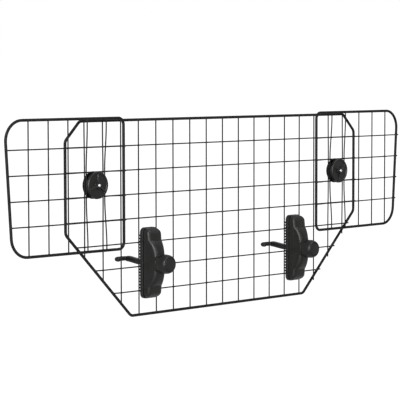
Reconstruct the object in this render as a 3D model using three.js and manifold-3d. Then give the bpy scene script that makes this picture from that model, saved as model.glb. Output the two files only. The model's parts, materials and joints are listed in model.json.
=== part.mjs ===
// Car dog guard: a welded mesh panel behind the seats, widened by two overlapping side panels.
// Two screw clamps hold the side panels, and two hook brackets grip the headrest posts.
// Millimetres. +X is to the right seen from the boot, +Y points at the seats, +Z is up.
// The origin lies midway along the guard, in the line of the headrest posts, at the knobs' height.

import * as THREE from 'three';
import { mergeVertices } from 'three/addons/utils/BufferGeometryUtils.js';
import Module from 'manifold-3d';

const wasm = await Module();
wasm.setup();

// Mesh and rods
const mesh_pitch = 50;
const column_count = 17;
const row_count = 7;
const wire_diameter = 2.8;
const rod_diameter = 6;
const weld_depth = 0.8;
const wire_end_inset = 1.2;
const seat_gap = 0.3;
const crank_margin = 4;
const crank_length = 9;

// Centre panel, between the rods' centre lines
const side_rod_inset = 3.5;
const top_margin = 52;
const bottom_margin = 51;
const top_chamfer_width = 39;
const low_chamfer_width = 178;
const frame_bend_radius = 14;

// Side panels, between the rods' centre lines. They lean back towards the seats at their outer ends.
const side_column_count = 5;
const side_row_count = 4;
const side_inner_margin = 50.5;
const side_outer_margin = 54;
const side_top_margin = 57;
const side_bottom_margin = 59.5;
const side_taper_width = 17;
const side_inner_bend_radius = 14;
const side_outer_bend_radius = 40;
const side_rod_gap = 0.7;
const side_lean_share = 0.03;

// The first column and row of the centre cell that a clamp goes through
const clamp_column = 1;
const clamp_row = 2;
const clamp_drop_height = 1.5;

// The dent that a clamp draws into both meshes, as distances from the bolt
const centre_dent_depth = 0.8;
const dent_flat_width = 40;
const dent_reach_width = 66;
const dent_flat_height = 30;
const dent_reach_height = 120;

// Clamps
const disc_overlap_width = 2.9;
const back_disc_depth = 7.7;
const back_disc_edge_width = 6.2;
const pad_disc_depth = 1.4;
const pad_disc_edge_width = 0.5;
const wheel_inset = 0.5;
const wheel_rim_depth = 3.8;
const wheel_rim_width = 3;
const wheel_slope_width = 3;
const wheel_floor_depth = 1.8;
const wheel_hub_diameter = 15;
const wheel_hub_depth = 6.9;
const wheel_edge_width = 0.8;
const wing_count = 3;
const wing_width = 5;
const wing_turn_degrees = 35;
const clamp_bolt_diameter = 6;
const bolt_head_diameter = 14;
const bolt_head_depth = 3.2;
const bolt_end_depth = 0.6;
const bolt_edge_width = 0.5;
const clamp_insert_diameter = 9.6;
const clamp_insert_length = 5.5;
const thread_gap = 0.15;
const hole_gap = 0.4;

// Headrest brackets: where their axis lies in the mesh
const axis_row = 6;
const axis_row_height = 7.5;
const bracket_cell = 4.5;
const bracket_shift_width = 7;

// Toothed pad
const pad_width = 43;
const pad_height = 147;
const pad_thickness = 7.9;
const pad_corner_radius = 9;
const tooth_depth = 3.3;
const tooth_pitch = 6.35;
const tooth_tip_width = 2.2;
const tooth_root_width = 4.4;
const tooth_margin = 13;
const guide_gap = 0.35;

// Bracket body
const body_inset = 1.5;
const body_end_depth = 17;
const body_bulge_depth = 33.4;
const bulge_end_margin = 26;
const bulge_seat_margin = 2.5;
const bulge_round_share = 2;
const bulge_full_share = 0.75;
const bulge_side_inset = 4.5;
const bulge_shoulder_depth = 3.5;
const body_edge_radius = 7;
const body_wall_thickness = 2.5;
const body_corner_radius = 9;
const body_end_round_height = 12;
const body_end_round_depth = 11;
const collar_inset = 0.3;
const collar_depth = 1.5;
const screw_end_margin = 13.5;
const screw_diameter = 3.4;
const screw_head_diameter = 6.6;
const screw_head_depth = 2.4;
const screw_end_gap = 0.5;
const boss_diameter = 8;

// Hook
const hook_diameter = 6;
const hook_reach = 55;
const hook_rise_height = 4;
const hook_throat_width = 17.25;
const hook_lip_length = 14;
const hook_bend_radius = 7;
const rise_bend_radius = 40;
const rise_start_depth = 14;
const rise_length = 28;
const arm_width = 11.5;
const arm_corner_radius = 2.5;
const grip_diameter = 10;
const sleeve_gap = 0.2;
const post_diameter = 12;
const hook_travel_length = 15;

// Knob
const knob_diameter = 40;
const knob_length = 24;
const knob_face_diameter = 29;
const knob_rim_width = 0.8;
const knob_wall_thickness = 3;
const knob_skirt_depth = 10;
const knob_edge_width = 1.2;
const knob_stem_diameter = 14;
const knob_cap_depth = 1.8;
const knob_insert_diameter = 10.4;
const knob_insert_length = 8;
const knob_flange_diameter = 19;
const knob_flange_depth = 2;
const knob_play_gap = 0.5;
const shank_end_length = 1;
const stop_gap = 1;

// Fineness of round shapes
const wire_sides = 6;
const rod_sides = 8;
const small_sides = 12;
const grip_sides = 12;
const knob_sides = 20;
const disc_sides = 24;
const bend_steps = 4;
const dome_steps = 4;
const long_bend_steps = 5;
const rise_steps = 2;
const cut_overrun_depth = 2;
const weld_tolerance = 1e-4;

// Layers from the seats to the boot, as distances in front of the centre rods' plane
const wire_radius = wire_diameter / 2;
const rod_radius = rod_diameter / 2;
const wire_layer_step = wire_diameter - weld_depth;
const column_layer = rod_radius + seat_gap + wire_radius;
const row_layer = column_layer + wire_layer_step;
const mesh_front = row_layer + wire_radius;
const side_rod_layer = column_layer + wire_radius + side_rod_gap + rod_radius;

// At a clamp the side mesh lies on the centre mesh, and both lie between the back disc and the pad
const clamped_centre_rear = column_layer - wire_radius + centre_dent_depth;
const clamped_side_columns = mesh_front + centre_dent_depth + seat_gap + wire_radius;
const clamped_side_front = clamped_side_columns + wire_layer_step + wire_radius;

// The centre rods' plane, seen from the headrest posts' line
const grip_radius = grip_diameter / 2;
const rod_plane_y = -(hook_reach - grip_radius - post_diameter / 2);

const black_coat = { color: 0x232323, roughness: 0.42, metalness: 0.15 };
const black_plastic = { color: 0x2b2b2a, roughness: 0.55, metalness: 0 };
const black_rubber = { color: 0x1f1f1f, roughness: 0.8, metalness: 0 };
const zinc_steel = { color: 0xb9bcc0, roughness: 0.35, metalness: 0.9 };
const brass = { color: 0xb08d4a, roughness: 0.4, metalness: 0.9 };

const guard = new THREE.Group();

// Turns a list of rings into one closed body. A loop joins its last ring to its first.
function loft(rings, is_loop) {
  const sides = rings[0].length;
  const points = rings.flat();
  const faces = [];
  const ring_pairs = is_loop ? rings.length : rings.length - 1;
  for (let i = 0; i < ring_pairs; i += 1) {
    const low = i * sides;
    const high = ((i + 1) % rings.length) * sides;
    for (let j = 0; j < sides; j += 1) {
      const next = (j + 1) % sides;
      faces.push(low + j, high + j, high + next);
      faces.push(low + j, high + next, low + next);
    }
  }
  if (!is_loop) {
    const last = (rings.length - 1) * sides;
    for (let j = 1; j < sides - 1; j += 1) {
      faces.push(0, j, j + 1);
      faces.push(last, last + j + 1, last + j);
    }
  }
  return faceOut(points, faces);
}

// Builds the geometry with its faces pointing out.
function faceOut(points, faces) {
  let volume = 0;
  for (let i = 0; i < faces.length; i += 3) {
    const [a, b, c] = [points[faces[i]], points[faces[i + 1]], points[faces[i + 2]]];
    volume += a.dot(new THREE.Vector3().crossVectors(b, c));
  }
  const ordered = volume < 0 ? [...faces].reverse() : faces;
  const geometry = new THREE.BufferGeometry().setFromPoints(points);
  geometry.setIndex(ordered);
  return geometry;
}

// Turns a closed geometry into a solid that can be cut and joined.
function solid(geometry) {
  const bare = geometry.clone();
  bare.deleteAttribute('normal');
  bare.deleteAttribute('uv');
  const merged = mergeVertices(bare, weld_tolerance);
  return new wasm.Manifold(new wasm.Mesh({
    numProp: 3,
    vertProperties: new Float32Array(merged.attributes.position.array),
    triVerts: new Uint32Array(merged.index.array),
  }));
}

// Adds a solid or a geometry to the guard as a named mesh.
function addPart(parent, name, shape, finish) {
  let geometry = shape;
  if (!shape.isBufferGeometry) {
    const result = shape.getMesh();
    geometry = new THREE.BufferGeometry();
    geometry.setAttribute('position', new THREE.BufferAttribute(new Float32Array(result.vertProperties), 3));
    geometry.setIndex(new THREE.BufferAttribute(new Uint32Array(result.triVerts), 1));
  }
  geometry.computeVertexNormals();
  const mesh = new THREE.Mesh(geometry, new THREE.MeshStandardMaterial(finish));
  mesh.name = name;
  parent.add(mesh);
  return mesh;
}

// Rounds each corner of a path with its own radius, and gives points with their directions.
function roundedPath(corners, is_loop) {
  const stations = [];
  const count = corners.length;
  for (let i = 0; i < count; i += 1) {
    const corner = corners[i];
    if (!is_loop && (i === 0 || i === count - 1)) {
      const other = i === 0 ? corners[1] : corners[count - 2];
      const along = new THREE.Vector3().subVectors(other.at, corner.at).normalize();
      stations.push({ at: corner.at.clone(), along: i === 0 ? along : along.negate() });
      continue;
    }
    const before = corners[(i + count - 1) % count].at;
    const after = corners[(i + 1) % count].at;
    const arriving = new THREE.Vector3().subVectors(corner.at, before).normalize();
    const leaving = new THREE.Vector3().subVectors(after, corner.at).normalize();
    const turn = arriving.angleTo(leaving);
    const reach = corner.radius * Math.tan(turn / 2);
    const start = corner.at.clone().addScaledVector(arriving, -reach);
    const inward = leaving.clone().addScaledVector(arriving, -leaving.dot(arriving)).normalize();
    const centre = start.clone().addScaledVector(inward, corner.radius);
    for (let j = 0; j <= corner.steps; j += 1) {
      const angle = turn * j / corner.steps;
      const at = centre.clone()
        .addScaledVector(inward, -corner.radius * Math.cos(angle))
        .addScaledVector(arriving, corner.radius * Math.sin(angle));
      const along = arriving.clone().multiplyScalar(Math.cos(angle))
        .addScaledVector(inward, Math.sin(angle));
      stations.push({ at, along });
    }
  }
  return stations;
}

// A regular outline with its corners on a circle, and its first flat facing up the first axis
function roundSection(radius, sides) {
  const section = [];
  for (let j = 0; j < sides; j += 1) {
    const angle = (2 * j + 1) * Math.PI / sides;
    section.push([radius * Math.cos(angle), radius * Math.sin(angle)]);
  }
  return section;
}

// The same outline with its flats on the circle, for a bar that is welded flat or for a bore
const flatSection = (radius, sides) => roundSection(radius / Math.cos(Math.PI / sides), sides);

// A square outline with rounded corners.
function squareSection(width, corner_radius) {
  const half = width / 2 - corner_radius;
  const section = [];
  for (let quarter = 0; quarter < 4; quarter += 1) {
    const turn = quarter * Math.PI / 2 + Math.PI / 4;
    const centre_u = half * Math.sign(Math.cos(turn));
    const centre_v = half * Math.sign(Math.sin(turn));
    for (let j = 0; j <= 2; j += 1) {
      const angle = quarter * Math.PI / 2 + j * Math.PI / 4;
      section.push([centre_u + corner_radius * Math.cos(angle), centre_v + corner_radius * Math.sin(angle)]);
    }
  }
  return section;
}

// Lays a section square to each station of a path. The section's first axis stays near up.
function sweep(stations, section, up, is_loop = false) {
  const rings = stations.map(({ at, along, scale = 1 }) => {
    const first = up.clone().addScaledVector(along, -up.dot(along)).normalize();
    const second = new THREE.Vector3().crossVectors(along, first);
    return section.map(([u, v]) => (
      at.clone().addScaledVector(first, scale * u).addScaledVector(second, scale * v)
    ));
  });
  return loft(rings, is_loop);
}

const axis_x = new THREE.Vector3(1, 0, 0);
const axis_y = new THREE.Vector3(0, 1, 0);
const axis_z = new THREE.Vector3(0, 0, 1);

// Heights of the mesh's rows, counted from the top, and places of its columns from the left
const first_row = 1;
const middle_column = (column_count + 1) / 2;
const rowHeight = (row) => (axis_row - row) * mesh_pitch - axis_row_height;
const columnPlace = (column) => (column - middle_column) * mesh_pitch;

const outer_column_place = columnPlace(column_count);
const centre_half_width = outer_column_place + mesh_pitch - side_rod_inset;
const centre_top = rowHeight(first_row) + top_margin;
const centre_bottom = rowHeight(row_count) - bottom_margin;
const clamp_place = -columnPlace(clamp_column) - mesh_pitch / 2;
const clamp_height = rowHeight(clamp_row) - mesh_pitch / 2 - clamp_drop_height;

// The plane of the side rods, in front of the centre rods' plane, at a distance from the middle
const sideLayerAt = (x) => side_rod_layer - side_lean_share * (Math.abs(x) - outer_column_place);

// How far a wire near a clamp is drawn out of its plane, as a share of the full dent
function dentShare(x, z) {
  const across = Math.abs(Math.abs(x) - clamp_place);
  const along = Math.abs(z - clamp_height);
  const across_share = (dent_reach_width - across) / (dent_reach_width - dent_flat_width);
  const along_share = (dent_reach_height - along) / (dent_reach_height - dent_flat_height);
  return THREE.MathUtils.clamp(across_share, 0, 1) * THREE.MathUtils.clamp(along_share, 0, 1);
}

// Places along a wire where it bends near a clamp
const dentPlaces = (middle, flat, reach) => [middle - reach, middle - flat, middle + flat, middle + reach];

// One wire along X or Z. Its layer may change along it, so its rings stay in fixed planes.
function wire(axis, start, end, places, centreAt) {
  const inside = places.filter((place) => place > start && place < end);
  const stations = [start, ...inside.sort((a, b) => a - b), end];
  const rings = stations.map((place) => {
    const at = centreAt(place);
    return flatSection(wire_radius, wire_sides).map(([u, v]) => (
      axis === axis_x
        ? new THREE.Vector3(at.x, at.y + u, at.z + v)
        : new THREE.Vector3(at.x + v, at.y + u, at.z)
    ));
  });
  return solid(loft(rings, false));
}

// A welded grid of wires. Columns lie against the rods, and rows lie in front of them.
function meshGrid({ columns, rows, columnsLayerAt, clamped_layer, spanAtColumn, spanAtRow, clamp_sides }) {
  const wires = [];
  const planeAt = (x, z) => (
    rod_plane_y - THREE.MathUtils.lerp(columnsLayerAt(x), clamped_layer, dentShare(x, z))
  );
  for (const x of columns) {
    const [start, end] = spanAtColumn(x);
    const is_dented = dentShare(x, clamp_height) > 0;
    const places = is_dented ? dentPlaces(clamp_height, dent_flat_height, dent_reach_height) : [];
    wires.push(wire(axis_z, start, end, places, (z) => new THREE.Vector3(x, planeAt(x, z), z)));
  }
  for (const z of rows) {
    const [start, end] = spanAtRow(z);
    const inner = columns.filter((x) => x > start && x < end);
    const first_crank = Math.min(...inner) - crank_margin;
    const last_crank = Math.max(...inner) + crank_margin;
    const places = [first_crank - crank_length, first_crank, last_crank, last_crank + crank_length];
    if (dentShare(clamp_place, z) > 0) {
      for (const side of clamp_sides) {
        places.push(...dentPlaces(side * clamp_place, dent_flat_width, dent_reach_width));
      }
    }
    wires.push(wire(axis_x, start, end, places, (x) => {
      const past = Math.max(first_crank - x, x - last_crank);
      const crank_share = THREE.MathUtils.clamp(past / crank_length, 0, 1);
      return new THREE.Vector3(x, planeAt(x, z) - wire_layer_step * (1 - crank_share), z);
    }));
  }
  return wires.reduce((grid, next) => grid.add(next));
}

// Outline of the centre frame: the distance from the middle to its rod at a height
function centreReachAt(z) {
  const past_top = z - (centre_top - top_chamfer_width);
  const past_low = centre_bottom + low_chamfer_width - z;
  return centre_half_width - Math.max(past_top, past_low, 0);
}

// How far a wire runs past a rod's centre line. It shows past the slanted rods a little.
const wire_end_reach = rod_radius - wire_end_inset;
const slant_end_reach = rod_radius * Math.SQRT2;

const corner = (x, y, z, radius, steps) => ({ at: new THREE.Vector3(x, y, z), radius, steps });

function addCentrePanel() {
  const corners = [
    [centre_half_width - top_chamfer_width, centre_top],
    [centre_half_width, centre_top - top_chamfer_width],
    [centre_half_width, centre_bottom + low_chamfer_width],
    [centre_half_width - low_chamfer_width, centre_bottom],
  ];
  const mirrored = corners.map(([x, z]) => [-x, z]).reverse();
  const loop = [...corners, ...mirrored]
    .map(([x, z]) => corner(x, rod_plane_y, z, frame_bend_radius, bend_steps));
  const path = roundedPath(loop, true);
  addPart(guard, 'centre_frame', sweep(path, flatSection(rod_radius, rod_sides), axis_y, true), black_coat);

  const columns = [];
  for (let column = 1; column <= column_count; column += 1) {
    columns.push(columnPlace(column));
  }
  const rows = [];
  for (let row = 1; row <= row_count; row += 1) {
    rows.push(rowHeight(row));
  }
  const grid = meshGrid({
    columns,
    rows,
    columnsLayerAt: () => column_layer,
    clamped_layer: column_layer + centre_dent_depth,
    clamp_sides: [-1, 1],
    spanAtColumn: (x) => {
      const past_corner = Math.max(Math.abs(x) - (centre_half_width - low_chamfer_width), 0);
      const low_reach = past_corner > 0 ? slant_end_reach : wire_end_reach;
      return [centre_bottom + past_corner - low_reach, centre_top + wire_end_reach];
    },
    spanAtRow: (z) => {
      const past_rod = z < centre_bottom + low_chamfer_width ? slant_end_reach : wire_end_reach;
      const reach = centreReachAt(z) + past_rod;
      return [-reach, reach];
    },
  });
  addPart(guard, 'centre_mesh', grid, black_coat);
}

// A side panel. side is -1 on the left and 1 on the right.
function addSidePanel(side, prefix) {
  const inner_column = -columnPlace(clamp_column + 1);
  const outer_column = inner_column + (side_column_count - 1) * mesh_pitch;
  const inner = inner_column - side_inner_margin;
  const outer_top = outer_column + side_outer_margin;
  const outer_bottom = outer_top - side_taper_width;
  const top = rowHeight(first_row) + side_top_margin;
  const bottom = rowHeight(side_row_count) - side_bottom_margin;
  const loop = [
    [inner, top, side_inner_bend_radius, bend_steps],
    [outer_top, top, side_outer_bend_radius, long_bend_steps],
    [outer_bottom, bottom, side_outer_bend_radius, long_bend_steps],
    [inner, bottom, side_inner_bend_radius, bend_steps],
  ].map(([x, z, radius, steps]) => corner(side * x, rod_plane_y - sideLayerAt(x), z, radius, steps));
  const path = roundedPath(loop, true);
  const square_to_panel = new THREE.Vector3(-side * side_lean_share, 1, 0).normalize();
  const frame = sweep(path, flatSection(rod_radius, rod_sides), square_to_panel, true);
  addPart(guard, `${prefix}_side_frame`, frame, black_coat);

  const columns = [];
  for (let i = 0; i < side_column_count; i += 1) {
    columns.push(side * (inner_column + i * mesh_pitch));
  }
  const rows = [];
  for (let row = 1; row <= side_row_count; row += 1) {
    rows.push(rowHeight(row));
  }
  const grid = meshGrid({
    columns,
    rows,
    columnsLayerAt: (x) => sideLayerAt(x) + column_layer,
    clamped_layer: clamped_side_columns,
    clamp_sides: [side],
    spanAtColumn: () => [bottom - wire_end_reach, top + wire_end_reach],
    spanAtRow: (z) => {
      const outer = outer_top - side_taper_width * (top - z) / (top - bottom);
      const ends = [side * (inner - wire_end_reach), side * (outer + wire_end_reach)];
      return ends.sort((a, b) => a - b);
    },
  });
  addPart(guard, `${prefix}_side_mesh`, grid, black_coat);
}

// A solid turned about the Y axis from a profile of [radius, distance towards the boot].
function turned(profile, sides) {
  const outline = profile.map(([radius, forward]) => new THREE.Vector2(radius, -forward));
  const geometry = new THREE.LatheGeometry(outline, sides);
  geometry.deleteAttribute('normal');
  geometry.deleteAttribute('uv');
  const merged = mergeVertices(geometry, weld_tolerance);
  const position = merged.attributes.position;
  const points = [];
  for (let i = 0; i < position.count; i += 1) {
    points.push(new THREE.Vector3().fromBufferAttribute(position, i));
  }
  const faces = [];
  for (let i = 0; i < merged.index.count; i += 3) {
    const face = [merged.index.getX(i), merged.index.getX(i + 1), merged.index.getX(i + 2)];
    if (new Set(face).size === 3) {
      faces.push(...face);
    }
  }
  return faceOut(points, faces);
}

// A round bar or cutter along Y between two distances towards the boot
const turnedBar = (radius, from, to, sides) => (
  solid(turned([[0, from], [radius, from], [radius, to], [0, to]], sides))
);

// A clamp through the mesh cells. Distances are counted towards the boot from the centre rods' plane.
function addClamp(side, prefix) {
  const hole_radius = clamp_bolt_diameter / 2 + hole_gap;
  const disc_radius = mesh_pitch / 2 + disc_overlap_width;
  const back_front = clamped_centre_rear - seat_gap;
  const back_rear = back_front - back_disc_depth;
  const clamp_pad_rear = clamped_side_front + seat_gap;
  const clamp_pad_front = clamp_pad_rear + pad_disc_depth;
  const wheel_rear = clamp_pad_front + seat_gap;
  const wheel_radius = disc_radius - wheel_inset;
  const rim_front = wheel_rear + wheel_rim_depth;
  const rim_radius = wheel_radius - wheel_slope_width;
  const hub_front = wheel_rear + wheel_hub_depth;
  const hub_radius = wheel_hub_diameter / 2;
  const place = new THREE.Group();
  place.position.set(side * clamp_place, rod_plane_y, clamp_height);
  guard.add(place);

  const head_pocket = bolt_head_depth + seat_gap;
  const pocket_radius = bolt_head_diameter / 2 + hole_gap;
  const back_disc = turned([
    [hole_radius, back_front],
    [disc_radius, back_front],
    [disc_radius, back_rear + back_disc_edge_width],
    [disc_radius - back_disc_edge_width, back_rear],
    [pocket_radius, back_rear],
    [pocket_radius, back_rear + head_pocket],
    [hole_radius, back_rear + head_pocket],
    [hole_radius, back_front],
  ], disc_sides);
  addPart(place, `${prefix}_clamp_back_disc`, back_disc, black_plastic);

  const bolt_radius = clamp_bolt_diameter / 2;
  const bolt_head_radius = bolt_head_diameter / 2;
  const bolt_end = hub_front + bolt_end_depth;
  const bolt = turned([
    [0, back_rear],
    [bolt_head_radius - bolt_edge_width, back_rear],
    [bolt_head_radius, back_rear + bolt_edge_width],
    [bolt_head_radius, back_rear + bolt_head_depth],
    [bolt_radius, back_rear + bolt_head_depth],
    [bolt_radius, bolt_end - bolt_edge_width],
    [bolt_radius - bolt_edge_width, bolt_end],
    [0, bolt_end],
  ], small_sides);
  addPart(place, `${prefix}_clamp_bolt`, bolt, zinc_steel);

  const pad = turned([
    [hole_radius, clamp_pad_rear],
    [disc_radius, clamp_pad_rear],
    [disc_radius, clamp_pad_front - pad_disc_edge_width],
    [disc_radius - pad_disc_edge_width, clamp_pad_front],
    [hole_radius, clamp_pad_front],
    [hole_radius, clamp_pad_rear],
  ], disc_sides);
  addPart(place, `${prefix}_clamp_front_pad`, pad, black_plastic);

  const clamp_insert_front = wheel_rear + clamp_insert_length;
  const insert_bore = clamp_insert_diameter / 2 + thread_gap;
  const dish = solid(turned([
    [insert_bore, wheel_rear],
    [wheel_radius, wheel_rear],
    [wheel_radius, wheel_rear + wheel_edge_width],
    [rim_radius, rim_front],
    [rim_radius - wheel_rim_width, rim_front],
    [rim_radius - wheel_rim_width - wheel_edge_width, wheel_rear + wheel_floor_depth],
    [hub_radius + wheel_edge_width, wheel_rear + wheel_floor_depth],
    [hub_radius, hub_front - wheel_edge_width],
    [hub_radius - wheel_edge_width, hub_front],
    [hole_radius, hub_front],
    [hole_radius, clamp_insert_front + thread_gap],
    [insert_bore, clamp_insert_front + thread_gap],
    [insert_bore, wheel_rear],
  ], disc_sides));
  const wing_start = insert_bore + thread_gap;
  const wing_end = rim_radius - wheel_rim_width / 2;
  const wing_outline = new THREE.Shape([
    new THREE.Vector2(wing_start, wheel_rear + wheel_edge_width),
    new THREE.Vector2(wing_end, wheel_rear + wheel_edge_width),
    new THREE.Vector2(wing_end, rim_front - wheel_edge_width),
    new THREE.Vector2(hub_radius, hub_front - wheel_edge_width),
    new THREE.Vector2(wing_start, hub_front - wheel_edge_width),
  ]);
  let wheel = dish;
  for (let i = 0; i < wing_count; i += 1) {
    const wing = new THREE.ExtrudeGeometry(wing_outline, { depth: wing_width, bevelEnabled: false });
    wing.translate(0, 0, -wing_width / 2);
    wing.rotateX(Math.PI);
    wing.rotateY(i * 2 * Math.PI / wing_count + THREE.MathUtils.degToRad(wing_turn_degrees) * side);
    wheel = wheel.add(solid(wing));
  }
  addPart(place, `${prefix}_clamp_wheel`, wheel, black_plastic);

  const insert = turned([
    [bolt_radius + thread_gap, wheel_rear],
    [clamp_insert_diameter / 2, wheel_rear],
    [clamp_insert_diameter / 2, clamp_insert_front],
    [bolt_radius + thread_gap, clamp_insert_front],
    [bolt_radius + thread_gap, wheel_rear],
  ], small_sides);
  addPart(place, `${prefix}_clamp_insert`, insert, brass);
}

// Rounded outline in X and Z
function roundedPlate(width, height, corner_radius) {
  const half_x = width / 2;
  const half_z = height / 2;
  const outline = new THREE.Shape();
  outline.moveTo(-half_x + corner_radius, -half_z);
  outline.absarc(half_x - corner_radius, -half_z + corner_radius, corner_radius, -Math.PI / 2, 0);
  outline.absarc(half_x - corner_radius, half_z - corner_radius, corner_radius, 0, Math.PI / 2);
  outline.absarc(-half_x + corner_radius, half_z - corner_radius, corner_radius, Math.PI / 2, Math.PI);
  outline.absarc(-half_x + corner_radius, -half_z + corner_radius, corner_radius, Math.PI, Math.PI * 1.5);
  return outline;
}

// Extrudes an outline in X and Z from one distance towards the boot to another
function plateSolid(outline, from, to) {
  const depth = to - from;
  const plate = new THREE.ExtrudeGeometry(outline, { depth, bevelEnabled: false, curveSegments: bend_steps });
  plate.rotateX(Math.PI / 2);
  plate.translate(0, -from, 0);
  return solid(plate);
}

// Depth layers of a bracket, towards the boot from the centre rods' plane
const tooth_tips = mesh_front + seat_gap;
const pad_rear = tooth_tips + tooth_depth;
const pad_front = pad_rear + pad_thickness;
const body_rear = pad_front + seat_gap;
const collar_front = pad_front + body_bulge_depth + collar_depth;
const knob_rear = collar_front + knob_play_gap;
const knob_front = knob_rear + knob_length;
const flange_front = collar_front - body_wall_thickness - knob_play_gap;
const insert_front = flange_front + knob_insert_length;
const shank_end = insert_front + shank_end_length;
const arm_front = flange_front - knob_flange_depth - stop_gap - hook_travel_length;

// Sizes of a bracket that follow the pad's width and height
const body_half_width = pad_width / 2 - body_inset;
const body_half_height = pad_height / 2 - body_inset;
const screw_height = pad_height / 2 - screw_end_margin;
const bulge_half_height = pad_height / 2 - bulge_end_margin;
const bulge_seat_half_height = knob_flange_diameter / 2 + bulge_seat_margin;
const tooth_count = Math.floor((pad_height - 2 * tooth_margin - tooth_root_width) / tooth_pitch) + 1;

// The toothed pad that bears on the mesh
function addPad(place, prefix) {
  const profile = new THREE.Shape();
  profile.moveTo(-pad_front, -pad_height);
  profile.lineTo(-pad_rear, -pad_height);
  for (let i = 0; i < tooth_count; i += 1) {
    const middle = (i - (tooth_count - 1) / 2) * tooth_pitch;
    profile.lineTo(-pad_rear, middle - tooth_root_width / 2);
    profile.lineTo(-tooth_tips, middle - tooth_tip_width / 2);
    profile.lineTo(-tooth_tips, middle + tooth_tip_width / 2);
    profile.lineTo(-pad_rear, middle + tooth_root_width / 2);
  }
  profile.lineTo(-pad_rear, pad_height);
  profile.lineTo(-pad_front, pad_height);
  const bar = new THREE.ExtrudeGeometry(profile, { depth: 2 * pad_width, bevelEnabled: false });
  bar.translate(0, 0, -pad_width);
  bar.rotateX(Math.PI / 2);
  bar.rotateZ(Math.PI / 2);
  const outline = roundedPlate(pad_width, pad_height, pad_corner_radius);
  const cut_rear = tooth_tips - cut_overrun_depth;
  const cut_front = pad_front + cut_overrun_depth;
  const guide_width = arm_width + 2 * guide_gap;
  const guide = plateSolid(roundedPlate(guide_width, guide_width, arm_corner_radius), cut_rear, cut_front);
  let pad = plateSolid(outline, cut_rear, pad_front).intersect(solid(bar)).subtract(guide);
  for (const end of [-1, 1]) {
    const hole = turnedBar(screw_diameter / 2 + hole_gap, cut_rear, cut_front, small_sides);
    const head_seat = pad_rear + screw_head_depth + seat_gap;
    const pocket = turnedBar(screw_head_diameter / 2 + hole_gap, cut_rear, head_seat, small_sides);
    pad = pad.subtract(hole.add(pocket).translate(0, 0, end * screw_height));
  }
  addPart(place, `${prefix}_bracket_pad`, pad, black_plastic);
}

// The bracket body's depth at a height: flat ends, an arched bulge and a flat seat for the knob
function bodyDepthAt(z) {
  const past_seat = Math.max(Math.abs(z) - bulge_seat_half_height, 0);
  const height_share = Math.min(past_seat / (bulge_half_height - bulge_seat_half_height), 1);
  const arch_share = (1 - height_share ** bulge_round_share) ** bulge_full_share;
  return body_end_depth + (body_bulge_depth - body_end_depth) * arch_share;
}

// The outside or, with a wall, the inside of the bracket body, lofted from bottom to top
function bodyForm(wall) {
  const half_height = body_half_height - wall;
  const half_width = body_half_width - wall;
  const corner_radius = body_corner_radius - wall;
  const round_height = body_end_round_height - wall;
  const round_depth = body_end_round_depth - wall;
  const edge = body_edge_radius - wall;
  const rear = wall > 0 ? body_rear - cut_overrun_depth : body_rear;
  const heights = [];
  for (const end_share of [0, 0.06, 0.2, 0.45, 0.75, 1]) {
    heights.push(half_height - round_height * end_share);
  }
  for (const height_share of [1, 0.92, 0.75, 0.45, 0]) {
    heights.push(THREE.MathUtils.lerp(bulge_seat_half_height, bulge_half_height, height_share));
  }
  const levels = [...heights.map((z) => -z), ...heights.toReversed()];
  const rings = levels.map((z) => {
    const past_corner = Math.max(Math.abs(z) - (half_height - corner_radius), 0);
    const narrowing = corner_radius - Math.sqrt(corner_radius ** 2 - past_corner ** 2);
    const width = half_width - narrowing;
    const past_round_share = Math.max(Math.abs(z) - (half_height - round_height), 0) / round_height;
    const end_drop = round_depth * (1 - Math.sqrt(1 - past_round_share ** 2));
    const front = pad_front + bodyDepthAt(z) - wall - end_drop;
    const bulge_share = (bodyDepthAt(z) - body_end_depth) / (body_bulge_depth - body_end_depth);
    const front_width = width - bulge_side_inset * bulge_share;
    const edge_here = Math.min(edge, (front - body_rear) / 2);
    const shoulder = Math.min(pad_front + body_end_depth + bulge_shoulder_depth - wall, front - edge_here);
    const ring = [[-width, rear], [width, rear], [width, shoulder]];
    for (let j = 0; j <= bend_steps; j += 1) {
      const angle = j / bend_steps * Math.PI / 2;
      ring.push([
        front_width - edge_here + edge_here * Math.cos(angle),
        front - edge_here + edge_here * Math.sin(angle),
      ]);
    }
    const left = ring.slice(2).map(([x, forward]) => [-x, forward]).reverse();
    return [...ring, ...left].map(([x, forward]) => new THREE.Vector3(x, -forward, z));
  });
  return solid(loft(rings, false));
}

// A screw's blind bore ends behind the body's front wall, and the screw ends short of it
const bore_end = pad_front + body_end_depth - body_wall_thickness;
const screw_end = bore_end - screw_end_gap;

// The round collar that the knob turns on stands out of the bulge
function addBody(place, prefix) {
  const collar_radius = body_half_width - collar_inset;
  const collar = turnedBar(collar_radius, body_rear, collar_front, disc_sides);
  const cut_rear = body_rear - cut_overrun_depth;
  const room_radius = collar_radius - body_wall_thickness;
  const room_front = collar_front - body_wall_thickness;
  const collar_room = turnedBar(room_radius, cut_rear, room_front, disc_sides);
  let body = bodyForm(0).add(collar).subtract(bodyForm(body_wall_thickness).add(collar_room));
  for (const end of [-1, 1]) {
    const boss = turnedBar(boss_diameter / 2, body_rear, bore_end + weld_depth, small_sides);
    const bore = turnedBar(screw_diameter / 2 + sleeve_gap, cut_rear, bore_end, small_sides);
    body = body.add(boss.translate(0, 0, end * screw_height));
    body = body.subtract(bore.translate(0, 0, end * screw_height));
  }
  const stem_radius = knob_stem_diameter / 2 + hole_gap;
  const stem_hole = turnedBar(stem_radius, body_rear, collar_front + cut_overrun_depth, small_sides);
  addPart(place, `${prefix}_bracket_body`, body.subtract(stem_hole), black_plastic);
}

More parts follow.
